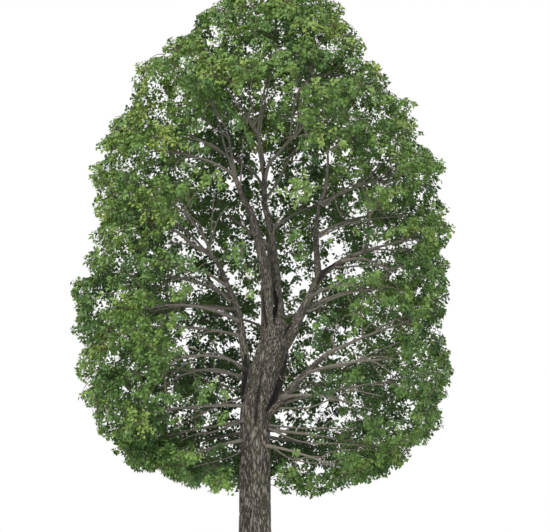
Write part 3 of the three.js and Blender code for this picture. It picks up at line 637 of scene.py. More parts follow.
def skinOfLimbs():
    # one continuous skin over trunk and boughs, so that the forks grow out of each other
    points, faces = [], []
    tubes = [limbTube(name, limb) for name, limb in limbs.items()]
    tubes += [swellTube(rows) for rows in forkSwells]
    for tube in tubes:
        if tube is None:
            continue
        offset = sum(len(p) for p in points)
        points.append(tube[0])
        faces.extend(tuple(n + offset for n in face) for face in tube[1])
    mesh = bpy.data.meshes.new("limb_tubes")
    mesh.from_pydata(np.vstack(points).tolist(), [], faces)
    piece = addObject("limb_tubes", mesh)
    remesh = piece.modifiers.new("skin", "REMESH")
    remesh.mode = "VOXEL"
    remesh.voxel_size = barkShape["voxel"]
    smooth = piece.modifiers.new("smooth", "SMOOTH")
    smooth.factor = 0.5
    smooth.iterations = barkShape["smoothing"]
    evaluated = piece.evaluated_get(bpy.context.evaluated_depsgraph_get())
    skin = bpy.data.meshes.new_from_object(evaluated)
    bpy.data.objects.remove(piece)
    cut = bmesh.new()
    cut.from_mesh(skin)
    everything = cut.verts[:] + cut.edges[:] + cut.faces[:]
    found = bmesh.ops.bisect_plane(cut, geom=everything, plane_co=(0, 0, 0), plane_no=(0, 0, 1),
                                   clear_inner=True)
    rim = [edge for edge in found["geom_cut"] if isinstance(edge, bmesh.types.BMEdge)]
    bmesh.ops.holes_fill(cut, edges=rim, sides=0)
    cut.to_mesh(skin)
    cut.free()
    return skin


def nearestAxis(points):
    # for each point: index of its limb and share along it
    best = np.full(len(points), 1e9)
    owner = np.zeros(len(points), int)
    share = np.zeros(len(points))
    batch = 8000
    for index, limb in enumerate([*limbs.values(), *swellAxes]):
        shares = np.linspace(0, limb["skinEnd"], 140)
        where, _ = curveAt(limb["path"], shares)
        radii = limbRadius(limb, shares)
        for start in range(0, len(points), batch):
            part = points[start:start + batch]
            far = np.linalg.norm(part[:, None, :] - where[None], axis=2) - radii
            closest = far.argmin(axis=1)
            value = far[np.arange(len(part)), closest]
            better = value < best[start:start + batch]
            place = np.flatnonzero(better) + start
            best[place] = value[better]
            owner[place] = index
            share[place] = shares[closest[better]]
    return owner, share


def barkCoordinates(points):
    owner, share = nearestAxis(points)
    bark = np.zeros((len(points), 3))
    size = np.zeros(len(points))
    for index, limb in enumerate([*limbs.values(), *swellAxes]):
        mine = np.flatnonzero(owner == index)
        where, across, aside, along = limbFrame(limb, share[mine])
        away = points[mine] - where
        turn = np.arctan2(-(away * aside).sum(1), (away * across).sum(1))
        radius = limbRadius(limb, share[mine])
        steady = 0.5 * radius + 0.5 * limb["radii"][0]
        steps = np.linspace(0, 1, 200)
        run = lengthsAlong(curveAt(limb["path"], steps)[0])
        bark[mine, 0] = steady * np.cos(turn)
        bark[mine, 1] = steady * np.sin(turn)
        bark[mine, 2] = np.interp(share[mine], steps, run) + barkShape["limbApart"] * index
        bark[mine, 2] += (away * along).sum(1)
        size[mine] = radius * limb.get("heft", 1)
    return bark, size


def setBark(piece, bark, size, fold):
    # bark coordinates of a piece, and the same twisted both ways for the furrows
    setAttribute(piece, "bark", bark)
    # the fold attribute carries the painted shade of the folds
    setAttribute(piece, "fold", fold)
    least = barkLook["cellLeast"] * np.minimum(size / 0.08, 1)
    cell = np.clip(barkLook["cellWide"] * size, least, barkLook["cellMost"])
    steady = np.maximum(np.hypot(bark[:, 0], bark[:, 1]), 0.03)
    turn = barkLook["lean"] * bark[:, 2] / steady
    for side, name in ((1, "lean_left"), (-1, "lean_right")):
        cos, sin = np.cos(turn * side), np.sin(turn * side)
        twisted = np.column_stack([bark[:, 0] * cos - bark[:, 1] * sin + side,
                                   bark[:, 0] * sin + bark[:, 1] * cos,
                                   bark[:, 2] / barkLook["cellLong"]])
        setAttribute(piece, name, twisted / cell[:, None])


def ridgeHeights(piece):
    # the furrows of the bark's material worked out at the points of a piece
    group = bpy.data.node_groups.new("furrow_heights", "GeometryNodeTree")
    group.interface.new_socket("Geometry", in_out="INPUT", socket_type="NodeSocketGeometry")
    group.interface.new_socket("Geometry", in_out="OUTPUT", socket_type="NodeSocketGeometry")
    skin = addNode(group, "NodeGroupInput")
    stored = addNode(group, "GeometryNodeStoreNamedAttribute", {"data_type": "FLOAT"},
                     {"Geometry": skin, "Name": "furrow", "Value": furrowLines(group, 0.0)})
    addNode(group, "NodeGroupOutput", None, {"Geometry": stored})
    step = piece.modifiers.new("furrows", "NODES")
    step.node_group = group
    made = piece.evaluated_get(bpy.context.evaluated_depsgraph_get()).to_mesh()
    heights = np.empty(len(made.vertices), np.float32)
    made.attributes["furrow"].data.foreach_get("value", heights)
    piece.modifiers.remove(step)
    return heights.astype(float)


def paintedFoldShade(points, normals):
    # painted shade of the folds: 1 in them on the side that faces the front
    shade = np.zeros(len(points))
    front = np.clip((0.55 - normals[:, 1]) / 0.5, 0, 1)
    flat = points[:, [0, 2]]
    for fold in foldsWithPaintedShade:
        line = np.array(fold)
        for first, last in zip(line[:-1], line[1:]):
            run = last[:2] - first[:2]
            t = np.clip(((flat - first[:2]) @ run) / (run @ run), 0, 1)
            middle = first[:2] + t[:, None] * run
            half = first[2] + t * (last[2] - first[2])
            far = np.linalg.norm(flat - middle, axis=1)
            shade = np.maximum(shade, np.clip((half - far) / barkShape["foldEdge"] + 0.6, 0, 1))
    return shade * front


def makeBark():
    skin = skinOfLimbs()
    read = {}
    for kind in ("co", "normal"):
        read[kind] = np.empty(len(skin.vertices) * 3, np.float32)
        skin.vertices.foreach_get(kind, read[kind])
        read[kind] = read[kind].reshape(-1, 3).astype(float)
    points, normals = read["co"], read["normal"]
    bark, size = barkCoordinates(points)
    piece = addObject("trunk_and_boughs", skin)
    # the folds' painted shade, which also sinks the bark in a shallow groove there
    fold = paintedFoldShade(points, normals)
    setBark(piece, bark, size, fold)
    ridge = ridgeHeights(piece)
    depth = np.clip(barkShape["depth"] * size, barkShape["leastDepth"], barkShape["mostDepth"])
    shift = (ridge - barkShape["level"]) * depth - fold * np.minimum(barkShape["foldDepth"], size * 0.3)
    shift = np.where(points[:, 2] < 0.02, 0, shift)  # the cut stays flat
    points = points + normals * shift[:, None]
    points[:, 2] = np.maximum(points[:, 2], 0)
    skin.vertices.foreach_set("co", points.astype(np.float32).ravel())
    skin.polygons.foreach_set("use_smooth", np.ones(len(skin.polygons), bool))
    skin.update()
    skin.materials.clear()
    skin.materials.append(oldBark)
    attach(piece, "root")
    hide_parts(*limbs)
    print("trunk and boughs made,", len(skin.polygons), "faces")


makeBark()

stemLook = dict(foot=0.056, tip=0.032, sway=0.0425, tipSink=0.008, tipShare=0.85, footShare=0.7,
                swellShare=1.6, swellMore=0.05)


def shareAtHeight(limb, height):
    low, high = 0.0, 1.0
    for _ in range(30):
        middle = (low + high) / 2
        if curveAt(limb["path"], [middle])[0][0, 2] < height:
            low = middle
        else:
            high = middle
    return low


def makeMass(row):
    # the stem that carries a mass of leaves, from its limb to the mass's middle
    name, limbName, at, bearing, reach, rise, arch = row
    limb = limbs[limbName]
    share = 1.0 if at is None else shareAtHeight(limb, at)
    root, along = curveAt(limb["path"], [share])
    root = root[0] - (along[0] * stemLook["tipSink"] if at is None else 0)
    turn = math.radians(bearing)
    outward = np.array([math.cos(turn), math.sin(turn), 0])
    aside = np.array([-math.sin(turn), math.cos(turn), 0])
    path = []
    for t in (0, 0.25, 0.5, 0.75, 1):
        sway = stemLook["sway"] * reach * math.sin(t * math.pi * 2)
        point = root + outward * reach * t
        point = point + aside * sway * (hashShare(reach * 1000, bearing) - 0.5) * 2
        point = point + np.array([0, 0, rise * t + arch * 4 * t * (1 - t)])
        path.append(point)
    radius = float(limbRadius(limb, np.array([share]))[0])
    if at is None:
        foot, swell = radius * stemLook["tipShare"], 0
    else:
        foot = min(stemLook["foot"], radius * stemLook["footShare"])
        swell = radius * stemLook["swellShare"] + stemLook["swellMore"]
    return dict(name=name, path=path, foot=foot, middle=np.array(path[-1]), bearing=bearing,
                swell=swell)


masses = [makeMass(row) for row in massRows]
middles = np.array([mass["middle"] for mass in masses])


def nearestOnPath(path, across, height, count):
    # the point of a path that is nearest as seen from the front, and its share
    shares = np.linspace(0, 1, count)
    where, _ = curveAt(path, shares)
    near = np.hypot(where[:, 0] - across, where[:, 2] - height).argmin()
    return where[near], shares[near:near + 1]


def seatOnLimb(limbName, across, height):
    limb = limbs[limbName]
    point, share = nearestOnPath(limb["path"], across, height, 120)
    radius = limbRadius(limb, share)[0]
    return point, radius * branchLook["swellShare"] + branchLook["swellMore"]


def sideBranchPaths():
    # the drawn side branches in three dimensions, each from its limb or from another branch
    made = {}
    for name, flat in sideBranches:
        stem = name.rsplit("_", 1)[0]
        parent = made.get(stem) if name not in branchSeats else None
        flat = np.array(flat)
        if parent is not None:
            start, _ = nearestOnPath(parent["path"], *flat[0], 60)
            flat[0] = start[[0, 2]]
            foot = branchLook["foot"] * branchLook["forkThin"]
            swell = branchLook["forkSwell"]
        else:
            group = stem if stem in branchSeats else name.rsplit("_", 2)[0]
            start, swell = seatOnLimb(branchSeats.get(name) or branchSeats[group], *flat[0])
            if np.hypot(*(flat[0] - start[[0, 2]])) > branchLook["seatGap"]:
                flat = np.vstack([start[[0, 2]], flat])
            foot = branchLook["foot"]
        run = lengthsAlong(flat)
        forward = start[1] - branchLook["forward"] * run ** branchLook["forwardBend"]
        path = np.column_stack([flat[:, 0], forward, flat[:, 1]])
        made[name] = dict(path=path, foot=foot, length=run[-1], swell=swell)
    return made


branches = sideBranchPaths()


def makeBranches():
    rows = []
    ringCount = branchLook["rings"]
    shares = np.linspace(0, 1, ringCount)
    for mass in masses:
        centres, _ = curveAt(mass["path"], shares)
        tip = min(mass["foot"], stemLook["tip"])
        rows.append((centres, mass["foot"] + (tip - mass["foot"]) * shares, mass["swell"]))
    for branch in branches.values():
        centres, _ = curveAt(branch["path"], shares)
        most = branchLook["leastFoot"] + branchLook["footPerMetre"] * branch["length"]
        foot = min(branch["foot"], most)
        radii = foot + (branchLook["tip"] - foot) * shares ** branchLook["taper"]
        rows.append((centres, radii, branch["swell"]))
    for name, limb in limbs.items():
        # the thin end of a limb, from just inside the bark's skin
        start = max(0, limb["skinEnd"] - branchLook["overlap"]) if limb["skinEnd"] > 0.05 else 0
        part = start + (1 - start) * shares
        centres, _ = curveAt(limb["path"], part)
        if name not in ("trunk", "leader_right", "leader_middle"):
            rows.append((centres, limbRadius(limb, part) * 1.02, 0))
    centres = np.array([row[0] for row in rows])
    radii = np.array([row[1] for row in rows])
    phase = np.arange(ringCount) * 1.9 + np.arange(len(rows))[:, None] * 2.3
    wobble = 1 + branchLook["wobble"] * np.sin(phase)
    run = np.linalg.norm(centres - centres[:, :1], axis=2)
    reach = np.array([row[2] for row in rows])[:, None]
    collar = branchLook["collar"] * np.exp(-(run / np.maximum(reach, 0.01)) ** 2)
    collar = np.where(reach > 0, 1 + collar, 1)
    sides = branchLook["sides"]
    points, bark = tubeRings(centres, radii * wobble * collar, sides)
    faces = tubeFaces(len(rows), ringCount, sides)
    piece = meshFrom("branches", points.reshape(-1, 3), faces, [branchBark])
    outward = unit(points - centres[:, :, None, :]).reshape(-1, 3)
    # painted shade where a branch's foot lies in a fold, seen from the front
    fold = branchLook["paintedShadeShare"] * paintedFoldShade(points.reshape(-1, 3), outward)
    setBark(piece, bark.reshape(-1, 3), np.repeat(radii.ravel(), sides), fold)
    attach(piece, "root")
    print("branches made:", len(rows))


makeBranches()

# the long twigs of a mass
sprayLook = dict(count=11, angle=125, reach=2.7, step=0.08, least=0.45, lift=0.9, shares=(0.985, 0.5),
                 foot=0.017, tip=0.005, rings=7, arch=0.07, sway=0.035, margin=0.12, hidden=0.35)
# bushy ends of twigs under the crown's surface; the shares in Closer set them denser low down, at the
# back and on top
clumpLook = dict(tries=12000, low=(-6.4, -6.2, 2.9), high=(6.9, 6.2, 20.9), spacing=0.56,
                 spacingFront=0.3, frontFrom=3, room=(0.14, 0.62), down=0.6, innerSpacing=1.15,
                 innerRoom=(1.3, 2.6), size=0.6, bush=1.0, twigs=9, angleMore=14,
                 lift=0.35, lowCloser=0.8, lowBelow=4.4, backCloser=0.8, backFrom=2.5, highCloser=0.71,
                 highWide=1.9, forkCost=0.12, forkShares=(0.3, 0.75, 6), past=0.18, shortest=0.3,
                 sway=0.04, bow=0.32, hidden=0.3, hiddenHigh=0.5)
# the short twigs on them; End is the one that runs on past a tip, cell is how far they pass their mass
twigLook = dict(spacing=0.17, first=0.2, firstClump=0.15, last=0.97, shift=0.02, endAt=0.93,
                endLong=0.3, endDroop=0.15, angle=52, longest=0.66, shortest=0.22, sizes=(0.7, 1.15),
                foot=0.006, middle=0.0045, tip=0.002, lift=0.12, bend=0.05, room=0.02, cell=0.45)
leafLook = dict(perTwig=13, first=0.16, shift=0.03, long=(0.11, 0.16), wide=0.96, wides=(0.88, 1.08),
                stalk=0.05, stalkWide=0.0035, droop=0.5, forward=0.5, out=0.9, up=0.15,
                stalkStray=0.15, bladeStray=0.25, faceOut=0.45, faceUp=0.65, faceStray=0.42,
                fold=0.11, tipDroop=0.08, room=0.03)
# the front of the crown is thin round this place, so that the boughs show
openFront = dict(across=0.75, height=9.4, halfWide=3.9, halfHigh=6.5, lowest=4.0, depth=-0.6,
                 keep=0.72, twigsKept=0.4)
# lines of sight to the limbs and branches that stay clear of leaves, narrower above high
sightLines = dict(limbClear=0.21, branchClear=0.2, highClear=0.14, high=14.7)
goldenAngle = math.radians(137.508)
stemPoints = 30  # places on each stem that a twig can grow from


def insideOwn(points, index, margin=0.0):
    room = crownRoom(points) > crownLook["edge"] + margin
    far = np.linalg.norm(points[..., None, :] - middles, axis=-1)
    own = far[..., index]
    return room & (own <= far.min(axis=-1) + sprayLook["margin"])


def sprayDirections(mass):
    number = np.arange(sprayLook["count"])
    middle = mass["middle"]
    centre = (roughOutline(middle[2:3], crownLeft) + roughOutline(middle[2:3], crownRight))[0] / 2
    outward = unit(np.array([middle[0] - centre, middle[1], sprayLook["lift"]]))
    spread = number / (sprayLook["count"] - 0.5)
    slope = np.arccos(1 - spread * (1 - math.cos(math.radians(sprayLook["angle"]))))
    turn = number * goldenAngle + math.radians(mass["bearing"])
    level, tilt = squareTo(outward, [0, 0, 1.0])
    direction = outward * np.cos(slope)[:, None] + level * (np.sin(slope) * np.cos(turn))[:, None]
    direction = direction + tilt * (np.sin(slope) * np.sin(turn))[:, None]
    high, low = sprayLook["shares"]
    return direction, high + (low - high) * number / sprayLook["count"]


def clearRound(where, low):
    return np.where(where[:, 2] > sightLines["high"], sightLines["highClear"], low)


def limbSamples():
    # points on all limbs and branches that show in front, each with the radius that stays clear
    rows = []
    for name, limb in limbs.items():
        if name == "bough_back":
            continue
        shares = np.linspace(0.02, 1, 70)
        where, _ = curveAt(limb["path"], shares)
        radii = limbRadius(limb, shares) + clearRound(where, sightLines["limbClear"])
        rows.append(np.column_stack([where, radii]))
    for branch in branches.values():
        where, _ = curveAt(branch["path"], np.linspace(0.05, 1, 24))
        rows.append(np.column_stack([where, clearRound(where, sightLines["branchClear"])]))
    return np.vstack(rows).astype(np.float32)


limbSpots = limbSamples()


def hidesLimb(points, tight=1.0):
    # which points hide a limb or branch from the front
    hides = np.zeros(len(points), bool)
    batch = 6000
    for start in range(0, len(points), batch):
        part = points[start:start + batch].astype(np.float32)
        far = np.hypot(part[:, None, 0] - limbSpots[:, 0], part[:, None, 2] - limbSpots[:, 2])
        infront = part[:, None, 1] < limbSpots[:, 1] + 0.02
        hides[start:start + batch] = ((far < limbSpots[:, 3] * tight) & infront).any(axis=1)
    return hides


def inOpenFront(points):
    across = (points[..., 0] - openFront["across"]) / openFront["halfWide"]
    height = (points[..., 2] - openFront["height"]) / openFront["halfHigh"]
    near = (points[..., 1] < openFront["depth"]) & (points[..., 2] > openFront["lowest"])
    return near & (across**2 + height**2 < 1)


def clumpPlaces():
    # middles of leafy clumps, spread evenly under the crown's surface and sparsely inside it
    spots = chanceSource.uniform(clumpLook["low"], clumpLook["high"], (clumpLook["tries"] * 4, 3))
    room = crownRoom(spots)
    step = np.array([0, 0, clumpLook["down"]])
    edge = (crownRoom(spots - step) < 0) | (crownRoom(spots + step) < 0)
    outer = (room > clumpLook["room"][0]) & ((room < clumpLook["room"][1]) | edge)
    inner = (room > clumpLook["innerRoom"][0]) & (room < clumpLook["innerRoom"][1])
    kept = np.zeros((0, 3))
    for layer, spacing in ((outer, clumpLook["spacing"]), (inner, clumpLook["innerSpacing"])):
        for spot in spots[layer][:clumpLook["tries"]]:
            apart = spacing + clumpLook["spacingFront"] * min(1, abs(spot[1]) / clumpLook["frontFrom"])
            apart *= clumpLook["lowCloser"] if spot[2] < clumpLook["lowBelow"] else 1
            apart *= clumpLook["backCloser"] if spot[1] > clumpLook["backFrom"] else 1
            if spot[2] > sightLines["high"] and abs(spot[0]) < clumpLook["highWide"]:
                apart *= clumpLook["highCloser"]
            if inOpenFront(spot) and chanceSource.uniform() > openFront["keep"]:
                continue
            if not len(kept) or np.linalg.norm(kept - spot, axis=1).min() > apart:
                kept = np.vstack([kept, spot])
    return kept


def bentTwig(root, run, rise, sway):
    t = np.linspace(0, 1, sprayLook["rings"])[:, None]
    bow = np.array([0, 0, rise])
    return root + run * t + bow * t * (1 - t) + sway * np.sin(t * math.pi * 2)


def makeClumpSprays():
    # one bent twig to each clump, from the nearest mass's stem or from a twig that is there already
    places = clumpPlaces()
    stems = [curveAt(mass["path"], np.linspace(0.3, 1, stemPoints))[0] for mass in masses]
    allStems = np.vstack(stems)
    away = [np.linalg.norm(allStems - place, axis=1).min() for place in places]
    forkShares = np.linspace(*clumpLook["forkShares"])
    forks = len(forkShares)
    paths, owners, parents = [], [], []
    grown = [[] for _ in masses]
    numbers = [[] for _ in masses]
    for place in places[np.argsort(away, kind="stable")]:
        owner = int(np.linalg.norm(middles - place, axis=1).argmin())
        roots = stems[owner]
        cost = np.linalg.norm(roots - place, axis=1) + np.linspace(0.5, 0, stemPoints)
        if grown[owner]:
            earlier = np.vstack(grown[owner])
            roots = np.vstack([roots, earlier])
            forkCost = np.linalg.norm(earlier - place, axis=1) * 1.1 + clumpLook["forkCost"]
            cost = np.append(cost, forkCost)
        best = cost.argmin()
        root = roots[best]
        parent = (-1, 0.0)
        if best >= stemPoints:
            number, fork = divmod(best - stemPoints, forks)
            parent = (numbers[owner][number], forkShares[fork])
        heading = unit(np.array([place[0] - crownLook["middle"], place[1], clumpLook["lift"]]))
        run = place + heading * clumpLook["past"] - root
        length = np.linalg.norm(run)
        if length < clumpLook["shortest"]:
            continue
        sway = chanceSource.normal(0, clumpLook["sway"], 3) * length
        path = bentTwig(root, run, clumpLook["bow"] * length, sway)
        most = clumpLook["hidden"] if place[2] < sightLines["high"] else clumpLook["hiddenHigh"]
        if crownRoom(path[-1:])[0] < 0.03 or hidesLimb(path, 0.5).mean() > most:
            continue
        grown[owner].append(curveAt(path, forkShares)[0])
        numbers[owner].append(len(paths))
        paths.append(path)
        owners.append(owner)
        parents.append(parent)
    return paths, owners, parents


def makeSprays():
    # the long twigs of each mass, out to the edge of its own space
    step = sprayLook["step"]
    steps = np.arange(1, int(sprayLook["reach"] / step) + 1) * step
    paths, owners = [], []
    for index, mass in enumerate(masses):
        direction, share = sprayDirections(mass)
        points = mass["middle"] + direction[:, None, :] * steps[None, :, None]
        inside = insideOwn(points, index)
        reach = np.where(inside.all(axis=1), steps[-1], steps[np.argmin(inside, axis=1)] - step)
        root, _ = curveAt(mass["path"], share)
        end = mass["middle"] + direction * reach[:, None]
        keep = reach > sprayLook["least"]
        for n in np.flatnonzero(keep):
            run = end[n] - root[n]
            length = np.linalg.norm(run)
            sway = chanceSource.normal(0, sprayLook["sway"], 3) * length
            path = bentTwig(root[n], run, sprayLook["arch"] * length * 4, sway)
            if hidesLimb(path[2:], 0.5).mean() > sprayLook["hidden"]:
                continue
            paths.append(path)
            owners.append(index)
    kinds = [0] * len(paths)
    clumpPaths, clumpOwners, parents = makeClumpSprays()
    forks = [(len(paths) + n, len(paths) + parent, share)
             for n, (parent, share) in enumerate(parents) if parent >= 0]
    paths += clumpPaths
    owners += clumpOwners
    kinds += [1] * len(clumpPaths)
    for branch in branches.values():
        if branch["length"] < 0.5:  # a stub carries no leaves
            continue
        shares = np.linspace(branchLook["leafFrom"], 1, sprayLook["rings"])
        path, _ = curveAt(branch["path"], shares)
        paths.append(path)
        owners.append(int(np.linalg.norm(middles - path[-1], axis=1).argmin()))
        kinds.append(0)
    return np.array(paths), np.array(owners), np.array(kinds), forks


def makeTwigs(paths, owners, kinds):
    # short twigs along the long ones, turned round them by the golden angle
    starts, ends, owner, onSpray, shares = [], [], [], [], []
    for number, path in enumerate(paths):
        length = np.linalg.norm(np.diff(path, axis=0), axis=1).sum()
        isClump = kinds[number] == 1
        if isClump:
            first = max(twigLook["firstClump"], 1 - clumpLook["bush"] / length)
            count = clumpLook["twigs"]
        else:
            first = twigLook["first"]
            count = max(3, int(length * (1 - first) / twigLook["spacing"]))
        shift = chanceSource.uniform(-twigLook["shift"], twigLook["shift"], count)
        share = np.linspace(first, twigLook["last"], count) + shift
        where, along = curveAt(path, share)
        turn = goldenAngle * np.arange(count) + chanceSource.uniform(0, 6.28)
        level, tilt = squareTo(along, [0.3, 0.2, 1.0])
        radial = level * np.cos(turn)[:, None] + tilt * np.sin(turn)[:, None]
        lean = math.radians(twigLook["angle"] + (clumpLook["angleMore"] if isClump else 0))
        direction = unit(along * math.cos(lean) + radial * math.sin(lean)
                         + np.array([0, 0, twigLook["lift"]]))
        size = twigLook["longest"] + (twigLook["shortest"] - twigLook["longest"]) * share
        if isClump:
            size = np.full(count, clumpLook["size"])
        size = size * chanceSource.uniform(*twigLook["sizes"], count)
        starts.append(where)
        ends.append(where + direction * size[:, None])
        owner.append(np.full(count, owners[number]))
        onSpray.append(np.full(count, number))
        shares.append(share)
        tipWhere, tipAlong = curveAt(path, [twigLook["endAt"]])
        tipAlong = unit(tipAlong + np.array([0, 0, -twigLook["endDroop"]]))
        starts.append(tipWhere)
        ends.append(tipWhere + tipAlong * twigLook["endLong"])
        owner.append(owners[number:number + 1])
        onSpray.append([number])
        shares.append([twigLook["endAt"]])
    return [np.concatenate(rows) for rows in (starts, ends, owner, onSpray, shares)]


sprayPaths, sprayOwners, sprayKinds, sprayForks = makeSprays()
twigRows = makeTwigs(sprayPaths, sprayOwners, sprayKinds)


def keepTwigs(starts, ends, owners, sprays):
    # those inside the crown and near their own mass that hide no limb, fewer in the open front
    far = np.linalg.norm(ends[:, None, :] - middles, axis=2)
    inCell = far[np.arange(len(ends)), owners] <= far.min(axis=1) + twigLook["cell"]
    ofClump = sprayKinds[sprays] == 1
    thinned = chanceSource.uniform(size=len(ends)) > openFront["twigsKept"]
    keep = (crownRoom(ends) > twigLook["room"]) & (inCell | ofClump)
    keep &= ~(inOpenFront(ends) & thinned & ~ofClump)
    return keep & ~(hidesLimb((starts + ends) / 2) | hidesLimb(ends))


keptTwigs = keepTwigs(*twigRows[:4])
twigStarts, twigEnds, twigOwners, twigSprays, twigShares = [row[keptTwigs] for row in twigRows]
print("twigs placed:", len(twigStarts), "on", len(sprayPaths), "sprays")

# the masses of each tier, by their place in massRows
tiers = {
    "low": range(0, 8), "second": range(8, 18), "middle": range(18, 29), "upper": range(29, 39),
    "top": range(39, 48),
}


def makeTwigPiece(tier, members):
    long = np.isin(sprayOwners, members) & leafySpray
    shares = np.linspace(0, 1, sprayLook["rings"])
    radii = sprayLook["foot"] + (sprayLook["tip"] - sprayLook["foot"]) * shares
    radii = np.tile(radii, (long.sum(), 1))
    longPoints, _ = tubeRings(sprayPaths[long], radii, 4)
    longFaces = tubeFaces(long.sum(), sprayLook["rings"], 4)
    mine = np.isin(twigOwners, members)
    first, last = twigStarts[mine], twigEnds[mine]
    bend = (first + last) / 2
    bend[:, 2] += twigLook["bend"] * np.linalg.norm(last - first, axis=1)
    centres = np.stack([first, bend, last], axis=1)
    radii = np.tile([twigLook["foot"], twigLook["middle"], twigLook["tip"]], (len(first), 1))
    shortPoints, _ = tubeRings(centres, radii, 3)
    shortFaces = tubeFaces(len(first), 3, 3)
    points = np.vstack([longPoints.reshape(-1, 3), shortPoints.reshape(-1, 3)])
    faces = np.vstack([longFaces, shortFaces + longPoints.size // 3])
    piece = meshFrom(f"twigs_{tier}", points, faces, [twigBark])
    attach(piece, "root")
    return len(faces) * 2


def makeLeaves():
    # places and directions of all leaves, turned round the twigs by the golden angle
    per = leafLook["perTwig"]
    count = len(twigStarts)
    shift = chanceSource.uniform(-leafLook["shift"], leafLook["shift"], (count, per))
    share = np.linspace(leafLook["first"], 1.0, per)[None, :] + shift
    run = twigEnds - twigStarts
    seat = twigStarts[:, None, :] + run[:, None, :] * share[:, :, None]
    # the bend of the twig's middle ring, as a smooth bow
    seat[..., 2] += 4 * twigLook["bend"] * (share * (1 - share)) * np.linalg.norm(run, axis=1)[:, None]
    along = unit(run)
    level, tilt = squareTo(along, [0.2, 0.1, 1.0])
    turn = goldenAngle * np.arange(per)[None, :] + chanceSource.uniform(0, 6.28, (count, 1))
    radial = level[:, None, :] * np.cos(turn)[..., None] + tilt[:, None, :] * np.sin(turn)[..., None]
    stalk = unit(leafLook["forward"] * along[:, None, :] + leafLook["out"] * radial
                 + np.array([0, 0, leafLook["up"]])
                 + chanceSource.normal(0, leafLook["stalkStray"], radial.shape))
    droop = np.array([0, 0, -leafLook["droop"]])
    blade = unit(stalk + droop + chanceSource.normal(0, leafLook["bladeStray"], radial.shape))
    base = seat + stalk * leafLook["stalk"]
    owner = np.repeat(twigOwners, per)
    spray = np.repeat(twigSprays, per)
    return seat.reshape(-1, 3), base.reshape(-1, 3), blade.reshape(-1, 3), owner, spray


leafRows = makeLeaves()
leafMiddles = leafRows[1] + leafRows[2] * 0.07
keepLeaf = (crownRoom(leafMiddles) > leafLook["room"]) & ~hidesLimb(leafMiddles, 0.9)
# twigs and sprays left bare are taken off, and each spray ends at its last leafy twig or fork
leavesOnTwig = keepLeaf.reshape(len(twigStarts), -1).sum(axis=1)
twigsOnSpray = np.bincount(twigSprays[leavesOnTwig > 2], minlength=len(sprayPaths))
leafySpray = twigsOnSpray >= 2
leafyTwig = (leavesOnTwig > 2) & leafySpray[twigSprays]
keepLeaf &= np.repeat(leafyTwig, leafLook["perTwig"])
lastShare = np.zeros(len(sprayPaths))
np.maximum.at(lastShare, twigSprays[leafyTwig], twigShares[leafyTwig])
for child, parent, share in reversed(sprayForks):
    if leafySpray[child]:
        leafySpray[parent] = True
        lastShare[parent] = max(lastShare[parent], share)
sprayPaths = np.array([curveAt(path, np.linspace(0, min(1, last + 0.03), sprayLook["rings"]))[0]
                       for path, last in zip(sprayPaths, lastShare)])
twigStarts, twigEnds, twigOwners = twigStarts[leafyTwig], twigEnds[leafyTwig], twigOwners[leafyTwig]
leafSeats, leafBases, leafBlades, leafOwners, leafSprays = [row[keepLeaf] for row in leafRows]
print("sprays:", leafySpray.sum(), "twigs:", len(twigStarts), "leaves:", len(leafSeats))

# each spray of leaves takes one green: painted light and shade, brighter outside and high up, deeper
# inside, plus a random spread of tone
greenLook = dict(middle=0.5, high=0.12, deep=0.12, spread=1.25)
sprayEnds = sprayPaths[:, -1]
greens = (greenLook["middle"] + greenLook["high"] * (sprayEnds[:, 2] - 11) / 9
          - greenLook["deep"] * np.clip(crownRoom(sprayEnds), 0, 3))
greens = greens * 6 + chanceSource.normal(0, greenLook["spread"], len(greens))
sprayGreens = np.clip(greens, 0, 6).round().astype(int)
# a leaf's outline: share of its length from the base, half width and fold as shares of its width
leafOutline = [(0.14, 0.48, 1.0), (0.5, 0.33, 0.5)]


def makeLeafPiece(tier, members):
    mine = np.isin(leafOwners, members)
    seat, base, blade = leafSeats[mine], leafBases[mine], leafBlades[mine]
    count = len(seat)
    long = chanceSource.uniform(*leafLook["long"], count)[:, None]
    wide = long * leafLook["wide"] * chanceSource.uniform(*leafLook["wides"], (count, 1))
    outward = np.column_stack([base[:, 0] - crownLook["middle"], base[:, 1], np.full(count, 0.0)])
    facing = leafLook["faceOut"] * unit(outward) + np.array([0, 0, leafLook["faceUp"]])
    facing = facing + chanceSource.normal(0, leafLook["faceStray"], (count, 3))
    across = unit(np.cross(blade, unit(facing)))
    normal = np.cross(across, blade)
    fold = leafLook["fold"] * wide
    left, leftUp, right, rightUp = [
        base + blade * long * up + side * across * wide * out + normal * fold * rise
        for side in (1, -1) for up, out, rise in leafOutline]
    tip = base + blade * long - normal * long * leafLook["tipDroop"]
    stalkSide = across * leafLook["stalkWide"]
    points = np.stack([base, left, leftUp, tip, rightUp, right, seat + stalkSide, seat - stalkSide],
                      axis=1)
    pattern = np.array([(0, 2, 1), (0, 3, 2), (0, 4, 3), (0, 5, 4), (0, 6, 7)])
    faces = (np.arange(count)[:, None, None] * 8 + pattern).reshape(-1, 3)
    slots = np.repeat(sprayGreens[leafSprays[mine]], 5)
    piece = meshFrom(f"leaves_{tier}", points.reshape(-1, 3), faces, leafMaterials, slots, False)
    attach(piece, "root")
    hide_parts(*[f"foliage_{masses[n]['name']}" for n in members])
    return len(faces)


for tier, members in tiers.items():
    twigFaces = makeTwigPiece(tier, list(members))
    leafFaces = makeLeafPiece(tier, list(members))
    print(tier, "tier made:", twigFaces, "triangles of twigs and", leafFaces, "of leaves")

stageLook = dict(radius=28.0, floor=(0.80, 0.80, 0.79), floorDark=(0.76, 0.76, 0.75),
                 floorLevel=-0.004, far=200.0, fieldWide=18.7, centreX=0.68, centreZ=10.778)


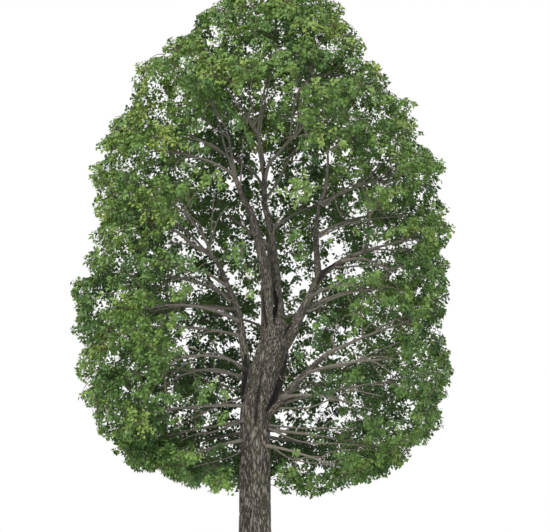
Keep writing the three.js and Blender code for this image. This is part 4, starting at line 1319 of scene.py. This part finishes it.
def makeFloor():
    floor = bmesh.new()
    bmesh.ops.create_circle(floor, cap_ends=True, segments=96, radius=stageLook["radius"])
    mesh = bpy.data.meshes.new("floor")
    floor.to_mesh(mesh)
    floor.free()
    mesh.materials.append(grainMaterial("floor_paint", stageLook["floorDark"], stageLook["floor"],
                                        0.9, 0.8, 4.0))
    piece = addObject("floor", mesh)
    piece.location = (0.2, 0, stageLook["floorLevel"])


def addSun(name, direction, energy, softness, colour):
    light = bpy.data.lights.new(name, "SUN")
    light.energy = energy
    light.angle = math.radians(softness)
    light.color = colour
    turn = (-Vector(direction)).to_track_quat("-Z", "Y")
    addObject(name, light).rotation_euler = turn.to_euler()


# Lights: name, direction towards the light, strength, softness in degrees, colour
lightRows = [
    ("key", (-0.55, -0.75, 0.85), 2.5, 14, (1.0, 0.97, 0.92)),
    ("fill", (0.9, -0.5, 0.35), 0.7, 40, (0.93, 0.96, 1.0)),
    ("back", (0.3, 0.9, 0.5), 0.9, 30, (1.0, 1.0, 0.96)),
]


def makeLight():
    for row in lightRows:
        addSun(*row)
    world = bpy.data.worlds.new("studio")
    world.use_nodes = True
    world.node_tree.nodes.clear()
    tree = world.node_tree
    seen = addNode(tree, "ShaderNodeLightPath")
    soft = addNode(tree, "ShaderNodeBackground", None,
                   {"Color": (0.92, 0.96, 1.0, 1), "Strength": 0.95})
    white = addNode(tree, "ShaderNodeBackground", None, {"Color": (1, 1, 1, 1), "Strength": 1.0})
    both = addNode(tree, "ShaderNodeMixShader", None, {0: seen, 1: soft, 2: white})
    addNode(tree, "ShaderNodeOutputWorld", None, {"Surface": both})
    bpy.context.scene.world = world
    bpy.context.scene.view_settings.view_transform = "Standard"


def makeCamera():
    lens = bpy.data.cameras.new("camera")
    lens.sensor_width = 36
    lens.lens = 36 * stageLook["far"] / stageLook["fieldWide"]
    lens.clip_end = 1000
    camera = addObject("camera", lens)
    camera.location = (stageLook["centreX"], -stageLook["far"], stageLook["centreZ"])
    camera.rotation_euler = (math.pi / 2, 0, 0)
    bpy.context.scene.camera = camera


makeFloor()
makeLight()
makeCamera()
print("stage made")
